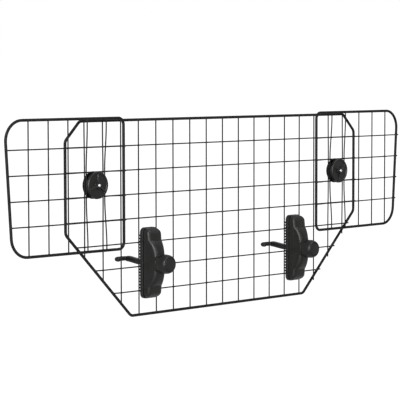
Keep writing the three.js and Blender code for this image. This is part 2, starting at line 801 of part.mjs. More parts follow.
function addScrews(place, prefix) {
  const head_front = pad_rear + screw_head_depth;
  const head_radius = screw_head_diameter / 2;
  const screw_radius = screw_diameter / 2;
  for (const [end, word] of [[-1, 'lower'], [1, 'upper']]) {
    const screw = turned([
      [0, pad_rear],
      [head_radius, pad_rear],
      [head_radius, head_front],
      [screw_radius, head_front],
      [screw_radius, screw_end - screw_radius],
      [screw_radius / 2, screw_end],
      [0, screw_end],
    ], small_sides);
    const mesh = addPart(place, `${prefix}_bracket_screw_${word}`, screw, zinc_steel);
    mesh.position.z = end * screw_height;
  }
}

// The hook's centre line, from the shank's end to the lip's tip
function hookPath(from_y, to_lip) {
  const lip_x = -(arm_width / 2 + hook_throat_width + grip_radius);
  const rise_end = rise_start_depth + rise_length;
  const corners = [
    corner(0, from_y, 0, 0, 0),
    corner(0, rise_start_depth, 0, rise_bend_radius, rise_steps),
    corner(0, rise_end, hook_rise_height, rise_bend_radius, rise_steps),
    corner(0, hook_reach, hook_rise_height, hook_bend_radius, long_bend_steps),
    corner(lip_x, hook_reach, hook_rise_height, hook_bend_radius, long_bend_steps),
    corner(lip_x, hook_reach - to_lip, hook_rise_height, 0, 0),
  ];
  return roundedPath(corners, false);
}

function addHook(place, prefix) {
  const rod_section = roundSection(hook_diameter / 2, rod_sides);
  const lip_end = hook_lip_length - grip_radius;
  const rod = sweep(hookPath(-shank_end, lip_end), rod_section, axis_z);
  addPart(place, `${prefix}_hook`, rod, zinc_steel);

  const bore_section = flatSection(hook_diameter / 2 + sleeve_gap, rod_sides);
  const arm_end = hook_reach - hook_bend_radius - sleeve_gap;
  const arm_stations = hookPath(-arm_front, lip_end).filter(({ at }) => at.x > -sleeve_gap && at.y < arm_end);
  arm_stations.push({ at: new THREE.Vector3(0, arm_end, hook_rise_height), along: axis_y.clone() });
  const arm = solid(sweep(arm_stations, squareSection(arm_width, arm_corner_radius), axis_z));
  const arm_bore = solid(sweep(hookPath(-arm_front - cut_overrun_depth, lip_end), bore_section, axis_z));
  addPart(place, `${prefix}_hook_arm_sleeve`, arm.subtract(arm_bore), black_plastic);

  const grip_stations = hookPath(-arm_front, lip_end).filter(({ at }) => at.x < -sleeve_gap);
  const grip_start = new THREE.Vector3(0, arm_end + seat_gap, hook_rise_height);
  grip_stations.unshift({ at: grip_start, along: axis_y.clone() });
  const tip = grip_stations[grip_stations.length - 1];
  for (const turn_share of [0.35, 0.65, 0.9]) {
    const angle = turn_share * Math.PI / 2;
    grip_stations.push({
      at: tip.at.clone().addScaledVector(tip.along, grip_radius * Math.sin(angle)),
      along: tip.along,
      scale: Math.cos(angle),
    });
  }
  const grip = solid(sweep(grip_stations, roundSection(grip_radius, grip_sides), axis_z));
  const grip_bore = solid(sweep(hookPath(-arm_front, lip_end + sleeve_gap), bore_section, axis_z));
  addPart(place, `${prefix}_hook_grip_sleeve`, grip.subtract(grip_bore), black_rubber);
}

// The knob draws the hook in. Its insert's flange keeps it in the body.
function addKnob(place, prefix) {
  const face_radius = knob_face_diameter / 2;
  const knob_radius = knob_diameter / 2;
  const shank_bore = hook_diameter / 2 + hole_gap;
  const insert_bore = knob_insert_diameter / 2 + thread_gap;
  const stem_radius = knob_stem_diameter / 2;
  const stem_rear = flange_front + thread_gap;
  const cap_seat = knob_front - knob_cap_depth - thread_gap;
  const cap_bore = face_radius - knob_rim_width;
  const dome_start = knob_rear + knob_skirt_depth;
  const inner_radius = knob_radius - knob_wall_thickness;
  const profile = [
    [insert_bore, stem_rear],
    [stem_radius, stem_rear],
    [stem_radius, knob_rear + knob_wall_thickness],
    [inner_radius, knob_rear + knob_wall_thickness],
    [inner_radius, knob_rear],
    [knob_radius - knob_edge_width, knob_rear],
    [knob_radius, knob_rear + knob_edge_width],
  ];
  for (let i = 0; i <= dome_steps; i += 1) {
    const angle = i / dome_steps * Math.PI / 2;
    profile.push([
      face_radius + (knob_radius - face_radius) * Math.cos(angle),
      dome_start + (knob_front - dome_start) * Math.sin(angle),
    ]);
  }
  profile.push(
    [cap_bore, knob_front],
    [cap_bore, cap_seat],
    [shank_bore, cap_seat],
    [shank_bore, insert_front + thread_gap],
    [insert_bore, insert_front + thread_gap],
    [insert_bore, stem_rear],
  );
  addPart(place, `${prefix}_knob`, turned(profile, knob_sides), black_plastic);

  const insert = turned([
    [hook_diameter / 2 + thread_gap, flange_front - knob_flange_depth],
    [knob_flange_diameter / 2, flange_front - knob_flange_depth],
    [knob_flange_diameter / 2, flange_front],
    [knob_insert_diameter / 2, flange_front],
    [knob_insert_diameter / 2, insert_front],
    [hook_diameter / 2 + thread_gap, insert_front],
    [hook_diameter / 2 + thread_gap, flange_front - knob_flange_depth],
  ], small_sides);
  addPart(place, `${prefix}_knob_insert`, insert, brass);

  const cap_radius = cap_bore - thread_gap;
  const cap = turned([
    [0, cap_seat + thread_gap],
    [cap_radius, cap_seat + thread_gap],
    [cap_radius, knob_front - thread_gap],
    [cap_radius - thread_gap, knob_front],
    [0, knob_front],
  ], knob_sides);
  addPart(place, `${prefix}_knob_cap`, cap, black_plastic);
}

// A headrest bracket on its own cell of the centre panel
function addBracket(cell, prefix) {
  const place = new THREE.Group();
  place.position.set(columnPlace(cell) - bracket_shift_width, rod_plane_y, 0);
  guard.add(place);
  addPad(place, prefix);
  addBody(place, prefix);
  addScrews(place, prefix);
  addHook(place, prefix);
  addKnob(place, prefix);
}

addCentrePanel();
for (const [side, prefix] of [[-1, 'left'], [1, 'right']]) {
  addSidePanel(side, prefix);
  addClamp(side, prefix);
}
addBracket(bracket_cell, 'left');
addBracket(2 * middle_column - bracket_cell, 'right');

export default guard;
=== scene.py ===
"""Looks of a car dog guard: welded mesh panels, screw clamps and headrest hook brackets."""

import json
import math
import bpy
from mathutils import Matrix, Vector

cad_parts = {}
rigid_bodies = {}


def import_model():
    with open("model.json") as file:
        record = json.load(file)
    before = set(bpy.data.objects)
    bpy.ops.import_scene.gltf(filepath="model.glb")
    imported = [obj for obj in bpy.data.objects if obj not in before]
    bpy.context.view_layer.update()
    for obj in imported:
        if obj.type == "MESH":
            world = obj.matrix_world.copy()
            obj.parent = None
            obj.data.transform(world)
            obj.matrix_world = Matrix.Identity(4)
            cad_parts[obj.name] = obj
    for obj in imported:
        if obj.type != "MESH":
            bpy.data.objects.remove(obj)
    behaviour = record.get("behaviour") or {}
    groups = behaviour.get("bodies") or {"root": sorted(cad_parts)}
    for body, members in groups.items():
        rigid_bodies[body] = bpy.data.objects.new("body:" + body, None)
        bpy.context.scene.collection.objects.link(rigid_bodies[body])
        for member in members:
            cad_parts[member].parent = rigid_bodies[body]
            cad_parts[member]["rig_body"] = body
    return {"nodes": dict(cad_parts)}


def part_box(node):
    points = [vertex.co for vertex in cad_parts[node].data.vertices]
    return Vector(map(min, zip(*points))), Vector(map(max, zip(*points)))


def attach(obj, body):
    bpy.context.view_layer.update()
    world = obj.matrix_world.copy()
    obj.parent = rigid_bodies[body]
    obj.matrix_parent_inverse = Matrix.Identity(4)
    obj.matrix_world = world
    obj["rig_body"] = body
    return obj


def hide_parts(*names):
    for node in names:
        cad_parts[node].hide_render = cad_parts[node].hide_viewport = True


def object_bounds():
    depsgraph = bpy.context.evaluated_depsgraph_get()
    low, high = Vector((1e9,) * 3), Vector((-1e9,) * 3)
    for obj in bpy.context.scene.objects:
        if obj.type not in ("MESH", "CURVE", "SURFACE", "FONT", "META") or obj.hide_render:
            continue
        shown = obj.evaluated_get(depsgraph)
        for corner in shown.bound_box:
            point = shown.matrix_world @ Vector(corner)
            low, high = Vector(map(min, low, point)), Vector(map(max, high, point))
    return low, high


bl_info = {
    "name": "Car Dog Guard",
    "version": (1, 0, 0),
    "blender": (4, 5, 0),
    "location": "3D View > Sidebar > Dog Guard",
    "description": "Builds the finished pieces of a mesh dog guard around its packed frame",
    "category": "Object",
}

import bmesh
import bpy
from bpy.props import FloatProperty, FloatVectorProperty, PointerProperty
from mathutils import Matrix, Vector

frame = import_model()
cad_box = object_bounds()

MM = 0.001
SIDES = ((-1, "left"), (1, "right"))
Y_AXIS = Vector((0, 1, 0))
Z_AXIS = Vector((0, 0, 1))


def node_centre(node):
    low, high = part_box(node)
    return (low + high) / 2


def node_size(node):
    low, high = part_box(node)
    return high - low


def node_axis(node):
    """The point at y = 0 on the line along Y through a node's centre."""
    centre = node_centre(node)
    return Vector((centre.x, 0, centre.z))


def node_reach(node):
    """Half of a node's width, and how far forward its rear and its front lie."""
    low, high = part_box(node)
    return (high.x - low.x) / 2, -high.y, -low.y


ROD_PLANE_Y = node_centre("centre_frame").y
ROD_RADIUS = node_size("centre_frame").y / 2

# Points that are closer than this are one point
MERGE_DISTANCE = MM * 0.001


def smooth_share(value, low, high):
    """0 up to low, 1 past high, and a smooth rise between."""
    part = min(max((value - low) / (high - low), 0.0), 1.0)
    return part * part * (3 - 2 * part)


def blend(low, high, share):
    return low + (high - low) * share


def soft_max(first, second, width):
    """The larger of two heights, with a fillet about as wide as width where they cross."""
    gap = abs(first - second)
    return max(first, second) + max(width - gap, 0.0) ** 2 / (4 * width)


# Sizes and colours that a user may change


def length(name, description, millimetres):
    return FloatProperty(name=name, description=description, default=millimetres * MM,
                         unit="LENGTH", precision=5)


def colour(name, description, value):
    return FloatVectorProperty(name=name, description=description, default=value,
                               subtype="COLOR", size=3, min=0, max=1)


def share(name, description, value):
    return FloatProperty(name=name, description=description, default=value,
                         subtype="FACTOR", min=0, max=1)


class GuardWireSizes(bpy.types.PropertyGroup):
    pitch: length("Mesh pitch", "Distance between neighbouring wires", 50)
    diameter: length("Wire diameter", "Thickness of the mesh wires", 2.8)
    weld_sink: length("Weld sink", "How far crossing wires are pressed into each other", 0.8)
    end_inset: length("Wire end inset", "How far short of a rod's far side a wire ends", 1.2)
    rod_gap: length("Rod gap", "Gap between the rods and the wires in front of them", 0.3)
    end_round: length("End rounding", "Rounding of the coated wire ends", 0.6)
    crank_start: length("Crank start", "Distance from the last column to the bend of a row", 4)
    crank_length: length("Crank length", "Length of the bend that brings a row to the rod", 9)
    clamp_drop: length("Clamp drop", "How far a clamp sits below the middle of its cell", 1.5)
    dent_depth: length("Dent depth", "How far the centre mesh is drawn out at a clamp", 0.8)
    dent_flat_width: length("Dent flat width", "Half the width of a dent's flat", 40)
    dent_reach_width: length("Dent width", "Half the width of a dent", 66)
    dent_flat_height: length("Dent flat height", "Half the height of a dent's flat", 30)
    dent_reach_height: length("Dent height", "Half the height of a dent", 120)
    weld_radius: length("Weld radius", "Size of the nugget where two wires cross", 1.9)
    bead_radius: length("Bead radius", "Size of the bead that welds a wire to a rod", 2.1)


class GuardRodSizes(bpy.types.PropertyGroup):
    corner_radius: length("Corner radius", "Bend radius of the centre frame's corners", 14)
    top_chamfer: length("Top chamfer", "Cut of the centre frame's upper corners", 39)
    low_chamfer: length("Lower chamfer", "Cut of the centre frame's lower corners", 178)
    side_inner_radius: length("Inner corner radius", "Bend radius of a side frame's inner corners", 14)
    side_outer_radius: length("Outer corner radius", "Bend radius of a side frame's outer corners", 40)
    side_taper: length("Side taper", "How far a side frame's outer rod leans in at its foot", 17)
    side_gap: length("Side gap", "Gap between the centre mesh and a side frame's rods", 0.7)
    side_lean: share("Side lean", "Slope of a side panel back towards the seats", 0.03)
    seam_rise: length("Seam rise", "Height of the ground butt weld that closes each loop", 0.2)
    seam_width: length("Seam width", "Width of the ground butt weld that closes each loop", 5)


class GuardClampSizes(bpy.types.PropertyGroup):
    disc_chamfer: length("Disc chamfer", "Width of the back disc's sloping edge", 6.2)
    disc_groove: length("Disc groove", "Depth of the ring moulded into the back disc", 0.8)
    head_pocket: length("Head pocket", "Depth of the bolt head's pocket", 3.5)
    head_depth: length("Head depth", "Depth of the bolt's head", 3.2)
    rim_width: length("Rim width", "Width of the hand wheel's rim", 3)
    rim_depth: length("Rim depth", "Depth of the hand wheel at its rim", 3.8)
    rim_slope: length("Rim slope", "Width of the slope outside the hand wheel's rim", 1.2)
    rim_foot: length("Rim foot", "Depth of the hand wheel's straight edge", 2.2)
    floor_depth: length("Floor depth", "Thickness of the hand wheel's floor", 1.8)
    hub_radius: length("Hub radius", "Radius of the hand wheel's hub", 7.5)
    wing_width: length("Wing width", "Thickness of the hand wheel's wings", 5)
    wing_slope: length("Wing slope", "Width of a wing's sloping flanks", 1.6)
    edge: length("Edge rounding", "Rounding of the moulded edges", 0.8)
    bolt_diameter: length("Bolt diameter", "Diameter of the clamp's bolt", 6)
    hole_gap: length("Hole gap", "Gap between a bolt or a screw and its hole", 0.4)
    wing_turn: FloatProperty(name="Wing turn", description="Turn of the hand wheels' wings",
                             default=math.radians(35), subtype="ANGLE")


class GuardBracketSizes(bpy.types.PropertyGroup):
    end_depth: length("End depth", "Depth of the cover's ends in front of the plate", 17)
    end_rise: length("End rise", "How much deeper the cover's ends get towards the bulge", 3)
    bulge_depth: length("Bulge depth", "Depth of the cover's bulge in front of the plate", 33.4)
    edge_radius: length("Edge radius", "Rounding of the cover's edges", 11)
    corner_radius: length("Corner radius", "Rounding of the cover's and the plate's corners", 10.5)
    end_round_height: length("End rounding height", "Height of the cover's rounded ends", 12)
    end_round_depth: length("End rounding depth", "Depth of the cover's rounded ends", 11)
    bulge_half_height: length("Bulge half height", "Half the height of the cover's bulge", 47.5)
    seat_half_height: length("Knob seat", "Half the height of the bulge's flat top", 12)
    side_inset: length("Side inset", "How far the bulge's sides lean in", 4.5)
    shoulder_depth: length("Shoulder", "Height above the plate where the bulge's sides begin to lean", 9)
    seam_groove: length("Seam groove", "Depth and height of the step where the cover meets the plate", 1.3)
    wall: length("Wall", "Thickness of the cover's walls", 2.5)
    collar_inset: length("Collar inset", "How far the knob's collar stays inside the cover's width", 0.3)
    boss_radius: length("Boss radius", "Radius of the cover's screw bosses", 4)
    stem_hole: length("Stem hole", "Radius of the hole for the knob's stem", 7.4)
    tooth_pitch: length("Tooth pitch", "Distance between the plate's teeth", 6.35)
    tooth_depth: length("Tooth depth", "Height of the plate's teeth", 3.3)
    tooth_tip: length("Tooth tip", "Width of a tooth at its tip", 2.2)
    tooth_root: length("Tooth root", "Width of a tooth at its root", 4.4)
    tooth_margin: length("Tooth margin", "Least distance from the plate's ends to its teeth", 13)
    guide_gap: length("Guide gap", "Gap between the hook's arm and its guide", 0.35)
    screw_gap: length("Screw gap", "Gap around the screws' heads", 0.4)


class GuardHookSizes(bpy.types.PropertyGroup):
    arm_width: length("Arm width", "Width of the square sleeve on the hook's arm", 11.5)
    arm_corner: length("Arm corner", "Rounding of the square sleeve", 2.5)
    grip_diameter: length("Grip diameter", "Thickness of the round sleeve on the crossbar", 9.66)
    reach: length("Reach", "Distance from the rods' plane to the crossbar", 55)
    rise: length("Rise", "Height of the crossbar above the knob's axis", 4)
    rise_start: length("Rise start", "Where the arm begins to rise", 14)
    rise_length: length("Rise length", "Length of the rising stretch", 28)
    rise_radius: length("Rise radius", "Bend radius of the rising stretch", 40)
    bend_radius: length("Bend radius", "Bend radius of the crossbar", 7)
    lip: length("Lip", "Length of the hook's lip", 14)
    throat: length("Throat", "Width that a headrest post enters", 17.42)


class GuardKnobSizes(bpy.types.PropertyGroup):
    skirt: length("Skirt", "Length of the knob's straight side", 10)
    play: length("Play", "Gap between the knob and its collar", 0.5)
    face_diameter: length("Face diameter", "Diameter of the knob's flat end", 29)
    stem_diameter: length("Stem diameter", "Diameter of the knob's stem", 14)
    insert_diameter: length("Insert diameter", "Diameter of the brass insert in the knob", 10.4)
    wall: length("Wall", "Thickness of the knob's shell", 3)
    edge: length("Edge rounding", "Rounding of the knob's rear edge", 2.4)
    lid_gap: length("Lid gap", "Width of the seam around the knob's lid", 0.3)
    groove: length("Groove", "Width of the rounded edges on both sides of that seam", 1.1)


class GuardFinishes(bpy.types.PropertyGroup):
    coat: colour("Powder coat", "Black powder coat of the rods and wires", (0.0060, 0.0060, 0.0062))
    coat_roughness: share("Coat roughness", "Roughness of the powder coat", 0.44)
    coat_gloss: share("Coat gloss", "Specular level of the powder coat", 0.05)
    plastic: colour("Plastic", "Moulded black plastic of the brackets and clamps", (0.0035, 0.0035, 0.0032))
    plastic_roughness: share("Plastic roughness", "Roughness of the moulded plastic", 0.41)
    plastic_gloss: share("Plastic gloss", "Specular level of the moulded plastic", 0.18)
    rubber: colour("Grip", "Soft black sleeve of the hooks", (0.0040, 0.0040, 0.0040))
    zinc: colour("Zinc", "Zinc plated steel of the bolts and screws", (0.62, 0.63, 0.65))
    brass: colour("Brass", "Turned brass of the threaded inserts", (0.55, 0.37, 0.13))


class GuardStageSizes(bpy.types.PropertyGroup):
    floor_drop: length("Floor drop", "Height of the guard's lower rod above the floor", 250)
    camera_place: FloatVectorProperty(name="Camera place", description="Where the camera stands",
                                      default=(-2.8593, -2.7707, 0.39226), size=3, precision=5,
                                      subtype="TRANSLATION", unit="LENGTH")
    camera_yaw: FloatProperty(name="Camera yaw", description="Heading from +Y towards +X",
                              default=math.radians(45.7062), subtype="ANGLE")
    camera_pitch: FloatProperty(name="Camera pitch", description="Downward tilt of the camera",
                                default=math.radians(3.9896), subtype="ANGLE")
    camera_roll: FloatProperty(name="Camera roll", description="Roll of the camera",
                               default=math.radians(-0.09835), subtype="ANGLE")
    camera_lens: FloatProperty(name="Lens", description="Focal length on a 36 mm sensor, in millimetres",
                               default=165.415, min=1)
    background: colour("Background", "Colour of the floor and the backdrop", (1.0, 1.0, 1.0))
    world_level: FloatProperty(name="World level", description="Strength of the studio's even light",
                               default=0.25, min=0)
    shadow_depth: share("Shadow depth", "How much of the guard's shadow the floor shows", 0.12)


# Shader building


class Shade:
    """A value in a shader. Python's operators on it add Math nodes."""

    def __init__(self, maker, socket):
        self.maker = maker
        self.socket = socket

    def _with(self, operation, first, second):
        node = self.maker.node("ShaderNodeMath", {"operation": operation}, {0: first, 1: second})
        return Shade(self.maker, node.outputs[0])

    def __add__(self, other):
        return self._with("ADD", self, other)

    __radd__ = __add__

    def __sub__(self, other):
        return self._with("SUBTRACT", self, other)

    def __rsub__(self, other):
        return self._with("SUBTRACT", other, self)

    def __mul__(self, other):
        return self._with("MULTIPLY", self, other)

    __rmul__ = __mul__


class NodeMaker:
    """Adds nodes to a tree."""

    def __init__(self, tree):
        self.tree = tree

    def node(self, kind, settings=None, inputs=None):
        """Adds a node, makes its settings and then fills or links its sockets."""
        node = self.tree.nodes.new(kind)
        for key, value in (settings or {}).items():
            setattr(node, key, value)
        for key, value in (inputs or {}).items():
            self.fill(node.inputs[key], value)
        return node

    def fill(self, socket, value):
        if isinstance(value, Shade):
            self.tree.links.new(value.socket, socket)
        elif socket.type == "RGBA" and len(value) == 3:
            socket.default_value = (*value, 1)
        else:
            socket.default_value = value

    def backdrop_share(self):
        """1 for rays that look at the backdrop, directly, in a reflection or through glass."""
        path = self.node("ShaderNodeLightPath")
        rays = ("Is Camera Ray", "Is Glossy Ray", "Is Transmission Ray")
        camera, glossy, transmission = [Shade(self, path.outputs[ray]) for ray in rays]
        return camera + glossy + transmission

    def mix_shaders(self, factor, first, second):
        node = self.node("ShaderNodeMixShader", None, {0: factor})
        self.tree.links.new(first, node.inputs[1])
        self.tree.links.new(second, node.inputs[2])
        return node.outputs[0]


class FinishMaker(NodeMaker):
    """Builds one material's nodes."""

    def __init__(self, name):
        self.material = bpy.data.materials.new(name)
        self.material.use_nodes = True
        super().__init__(self.material.node_tree)
        self.shader = self.tree.nodes["Principled BSDF"]
        self.place = Shade(self, self.node("ShaderNodeTexCoord").outputs["Object"])

    def noise(self, features_per_metre, detail=2.0, roughness=0.5):
        node = self.node("ShaderNodeTexNoise", None, {
            "Vector": self.place, "Scale": features_per_metre, "Detail": detail, "Roughness": roughness,
        })
        return Shade(self, node.outputs["Fac"])

    def ramp(self, value, low, high):
        """Spreads a value between two limits over 0 to 1."""
        node = self.node("ShaderNodeMapRange", {"clamp": True}, {
            "Value": value, "From Min": low, "From Max": high,
        })
        return Shade(self, node.outputs["Result"])

    def distance_from_axis(self):
        """The distance of a point from the upright line through the object's origin."""
        flat = self.node("ShaderNodeVectorMath", {"operation": "MULTIPLY"}, {0: self.place, 1: (1, 1, 0)})
        measured = self.node("ShaderNodeVectorMath", {"operation": "LENGTH"},
                             {0: Shade(self, flat.outputs[0])})
        return Shade(self, measured.outputs["Value"])

    def mixed(self, factor, first, second):
        node = self.node("ShaderNodeMix", {"data_type": "RGBA"}, {0: factor, 6: first, 7: second})
        return Shade(self, node.outputs[2])

    def tints(self, factor, base, first, second):
        """Mixes two tints of one colour."""
        return self.mixed(factor, tinted(base, first), tinted(base, second))

    def set(self, **sockets):
        for key, value in sockets.items():
            self.fill(self.shader.inputs[key.replace("_", " ")], value)

    def bump(self, height, distance, strength):
        node = self.node("ShaderNodeBump", None, {
            "Height": height, "Distance": distance, "Strength": strength,
        })
        self.set(Normal=Shade(self, node.outputs["Normal"]))


def tinted(base, factor):
    return tuple(min(channel * factor, 1.0) for channel in base)


# Height in metres of each finish's fine relief
RELIEF = {
    "black_coat": 0.00004,
    "black_plastic": 0.00005,
    "black_rubber": 0.00006,
    "zinc_steel": 0.00003,
    "brass": 0.00003,
}


def powder_coat(settings):
    """Coat with an orange peel, soft clouds and a few paler specks."""
    maker = FinishMaker("black_coat")
    cloud = maker.ramp(maker.noise(60, 3), 0.3, 0.7)
    speck = maker.ramp(maker.noise(1500, 1), 0.6, 0.75)
    base = maker.tints(cloud, settings.coat, 0.75, 1.3)
    maker.set(Base_Color=maker.mixed(speck, base, tinted(settings.coat, 1.6)),
              Roughness=settings.coat_roughness - 0.05 + cloud * 0.1,
              Specular_IOR_Level=settings.coat_gloss)
    maker.bump(maker.noise(900, 2), RELIEF["black_coat"], 0.5)
    return maker.material


def moulded_plastic(settings):
    """Plastic with flow marks, rubbed patches and a fine grain."""
    maker = FinishMaker("black_plastic")
    flow = maker.ramp(maker.noise(35, 4, 0.6), 0.3, 0.7)
    rub = maker.ramp(maker.noise(140, 4, 0.65), 0.55, 0.75)
    maker.set(Base_Color=maker.tints(flow, settings.plastic, 0.85, 1.15),
              Roughness=settings.plastic_roughness - 0.04 + flow * 0.05 + rub * 0.06,
              Specular_IOR_Level=settings.plastic_gloss)
    maker.bump(maker.noise(3200, 2), RELIEF["black_plastic"], 0.5)
    return maker.material


def soft_sleeve(settings):
    """Rubber with a pale bloom and a fine grain."""
    maker = FinishMaker("black_rubber")
    bloom = maker.ramp(maker.noise(90, 3), 0.35, 0.7)
    maker.set(Base_Color=maker.tints(bloom, settings.rubber, 0.85, 1.5),
              Roughness=0.55 + bloom * 0.12,
              Specular_IOR_Level=settings.plastic_gloss)
    maker.bump(maker.noise(2200, 2), RELIEF["black_rubber"], 0.6)
    return maker.material


def bare_metal(name, tone, dull_tint, roughness, stain_roughness, stains_per_metre, marks):
    """Metal that is duller and rougher where it is stained, with fine marks of tools."""
    maker = FinishMaker(name)
    stain = maker.ramp(maker.noise(stains_per_metre, 3), 0.4, 0.75)
    maker.set(Base_Color=maker.tints(stain, tone, 1, dull_tint),
              Metallic=1.0, Roughness=roughness + stain * stain_roughness)
    maker.bump(maker.noise(*marks), RELIEF[name], 0.4)
    return maker.material


def make_finishes(settings):
    """One material for each of the record's slots."""
    return {
        "black_coat": powder_coat(settings),
        "black_plastic": moulded_plastic(settings),
        "black_rubber": soft_sleeve(settings),
        "zinc_steel": bare_metal("zinc_steel", settings.zinc, 0.78, 0.24, 0.14, 220, (1400, 3)),
        "brass": bare_metal("brass", settings.brass, 0.7, 0.28, 0.15, 300, (1600, 2)),
    }


FINISHES = {}


# Forms


def circle(radius, sides):
    step = math.tau / sides
    return [(radius * math.cos(i * step), radius * math.sin(i * step)) for i in range(sides)]


def quarter_turns(steps):
    """Angles from 0 to a right angle."""
    return [i / steps * math.pi / 2 for i in range(steps + 1)]


def corner_arc(before, at, after, radius, steps):
    """Points and directions along the arc that rounds the corner at a place between two others."""
    arriving = (at - before).normalized()
    leaving = (after - at).normalized()
    turn = arriving.angle(leaving)
    start = at - arriving * radius * math.tan(turn / 2)
    inward = (leaving - arriving * leaving.dot(arriving)).normalized()
    arc = []
    for i in range(steps + 1):
        angle = turn * i / steps
        point = start + inward * radius * (1 - math.cos(angle)) + arriving * radius * math.sin(angle)
        arc.append((point, (arriving * math.cos(angle) + inward * math.sin(angle)).normalized()))
    return arc


def rounded(corners, steps=5, is_loop=False):
    """Outline or open profile from (first, second, rounding) corners, each turned into an arc."""
    points = []
    count = len(corners)
    for i, (first, second, rounding) in enumerate(corners):
        if rounding == 0 or (not is_loop and i in (0, count - 1)):
            points.append((first, second))
            continue
        before, after = Vector(corners[i - 1][:2]), Vector(corners[(i + 1) % count][:2])
        arc = corner_arc(before, Vector((first, second)), after, rounding, steps)
        points += [tuple(point) for point, _ in arc]
    return points


def square_section(width, corner_radius):
    half = width / 2
    signs = ((1, -1), (1, 1), (-1, 1), (-1, -1))
    return rounded([(half * u, half * v, corner_radius) for u, v in signs], is_loop=True)


def rounded_path(corners, is_loop, steps):
    """Points and directions along a path of (place, radius) corners."""
    stations = []
    count = len(corners)
    for i, (at, radius) in enumerate(corners):
        if not is_loop and i in (0, count - 1):
            along = (corners[1][0] - at) if i == 0 else (at - corners[-2][0])
            stations.append((at.copy(), along.normalized()))
            continue
        stations += corner_arc(corners[i - 1][0], at, corners[(i + 1) % count][0], radius, steps)
    return stations


class Form:
    """A mesh in the making, in the guard's frame."""

    def __init__(self):
        self.bm = bmesh.new()

    def loft(self, rings, is_loop=False):
        """Joins rings of points to a closed skin."""
        rows = [[self.bm.verts.new(point) for point in ring] for ring in rings]
        pairs = list(zip(rows, rows[1:]))
        if is_loop:
            pairs.append((rows[-1], rows[0]))
        for low, high in pairs:
            for j in range(len(low)):
                k = (j + 1) % len(low)
                self.bm.faces.new((low[j], low[k], high[k], high[j]))
        if not is_loop:
            self.bm.faces.new(list(reversed(rows[0])))
            self.bm.faces.new(rows[-1])
        return self

    def sweep(self, stations, section, up, is_loop=False):
        """Lays a section square to each station, which is a place, a direction and a scale."""
        rings = []
        for at, along, scale in stations:
            first = (up - along * up.dot(along)).normalized()
            second = along.cross(first)
            rings.append([at + first * u * scale + second * v * scale for u, v in section])
        return self.loft(rings, is_loop)

    def rod(self, points, radius, end_round, sides=14):
        """A round bar through points, with rounded ends."""
        stations = []
        for i, at in enumerate(points):
            before = points[max(i - 1, 0)]
            after = points[min(i + 1, len(points) - 1)]
            stations.append((at, (after - before).normalized(), 1.0))
        caps = []
        for sign, (at, along, _) in ((-1, stations[0]), (1, stations[-1])):
            cap = [(at - along * sign * end_round, along, 1.0)]
            for degrees in (20, 50, 80):
                angle = math.radians(degrees)
                back = at - along * sign * end_round * (1 - math.sin(angle))
                cap.append((back, along, 1 - end_round / radius * (1 - math.cos(angle))))
            caps.append(cap)
        stations = [*reversed(caps[0]), *stations[1:-1], *caps[1]]
        return self.sweep(stations, circle(radius, sides), Y_AXIS)

    def turned(self, profile, place, sides=96, is_ring=False):
        """Turns (radius, forward distance) points about the Y axis through place."""
        rows = []
        for radius, forward in profile:
            ring = [(0, 0)] if radius < MERGE_DISTANCE else circle(radius, sides)
            rows.append([self.bm.verts.new(place + Vector((u, -forward, v))) for u, v in ring])
        pairs = list(zip(rows, rows[1:]))
        if is_ring:
            pairs.append((rows[-1], rows[0]))
        for low, high in pairs:
            for i in range(sides):
                j = (i + 1) % sides
                corners = [low[i % len(low)], low[j % len(low)], high[j % len(high)], high[i % len(high)]]
                unique = list(dict.fromkeys(corners))
                if len(unique) > 2:
                    self.bm.faces.new(unique)
        return self

    def ball(self, centre, radii, steps=6):
        """A small rounded lump."""
        matrix = Matrix.Translation(centre) @ Matrix.Diagonal((*radii, 1))
        bmesh.ops.create_uvsphere(self.bm, u_segments=steps * 2, v_segments=steps, radius=1, matrix=matrix)
        return self

    def object(self, name, sharp_degrees=40):
        bmesh.ops.remove_doubles(self.bm, verts=self.bm.verts, dist=MERGE_DISTANCE)
        bmesh.ops.recalc_face_normals(self.bm, faces=self.bm.faces)
        mesh = bpy.data.meshes.new(name)
        self.bm.to_mesh(mesh)
        self.bm.free()
        mesh.shade_smooth()
        mesh.set_sharp_from_angle(angle=math.radians(sharp_degrees))
        made = bpy.data.objects.new(name, mesh)
        bpy.context.scene.collection.objects.link(made)
        return made


def prism(place, section, start, end):
    """A bar along Y with a section of (x, z) points, between two forward distances from place."""
    return Form().loft([[place + Vector((u, -forward, v)) for u, v in section] for forward in (start, end)])


def carve(target, *steps):
    """Joins forms to a piece and cuts forms out of it, in order, and deletes them."""
    for operation, form in steps:
        modifier = target.modifiers.new(operation.lower(), "BOOLEAN")
        modifier.operation = operation
        modifier.solver = "EXACT"
        modifier.object = form
    graph = bpy.context.evaluated_depsgraph_get()
    mesh = bpy.data.meshes.new_from_object(target.evaluated_get(graph))
    target.modifiers.clear()
    target.data = mesh
    mesh.shade_smooth()
    mesh.set_sharp_from_angle(angle=math.radians(35))
    for _, form in steps:
        bpy.data.objects.remove(form)


def paint(piece, slot):
    piece.data.materials.clear()
    piece.data.materials.append(FINISHES[slot])


def finish_piece(piece, slot, node):
    """Gives a piece its finish, puts it on its node's body and lets it stand for the node."""
    paint(piece, slot)
    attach(piece, frame["nodes"][node]["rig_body"])
    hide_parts(node)


def turned_piece(name, slot, node, corners, place, is_ring=False):
    """A piece that is turned about the Y axis through place."""
    form = Form().turned(rounded(corners), place, is_ring=is_ring)
    finish_piece(form.object(name), slot, node)


# Mesh and rods

ROW_COUNT = 7
SIDE_ROW_COUNT = 4
SIDE_COLUMN_COUNT = 5

# How many pitches the top row lies above the middle of a clamp's cell
TOP_ROW_PITCHES = 1.5

# Depth of the welds, as shares of a wire's radius
BEAD_DEPTH_SHARE = 0.7
NUGGET_DEPTH_SHARE = 0.8

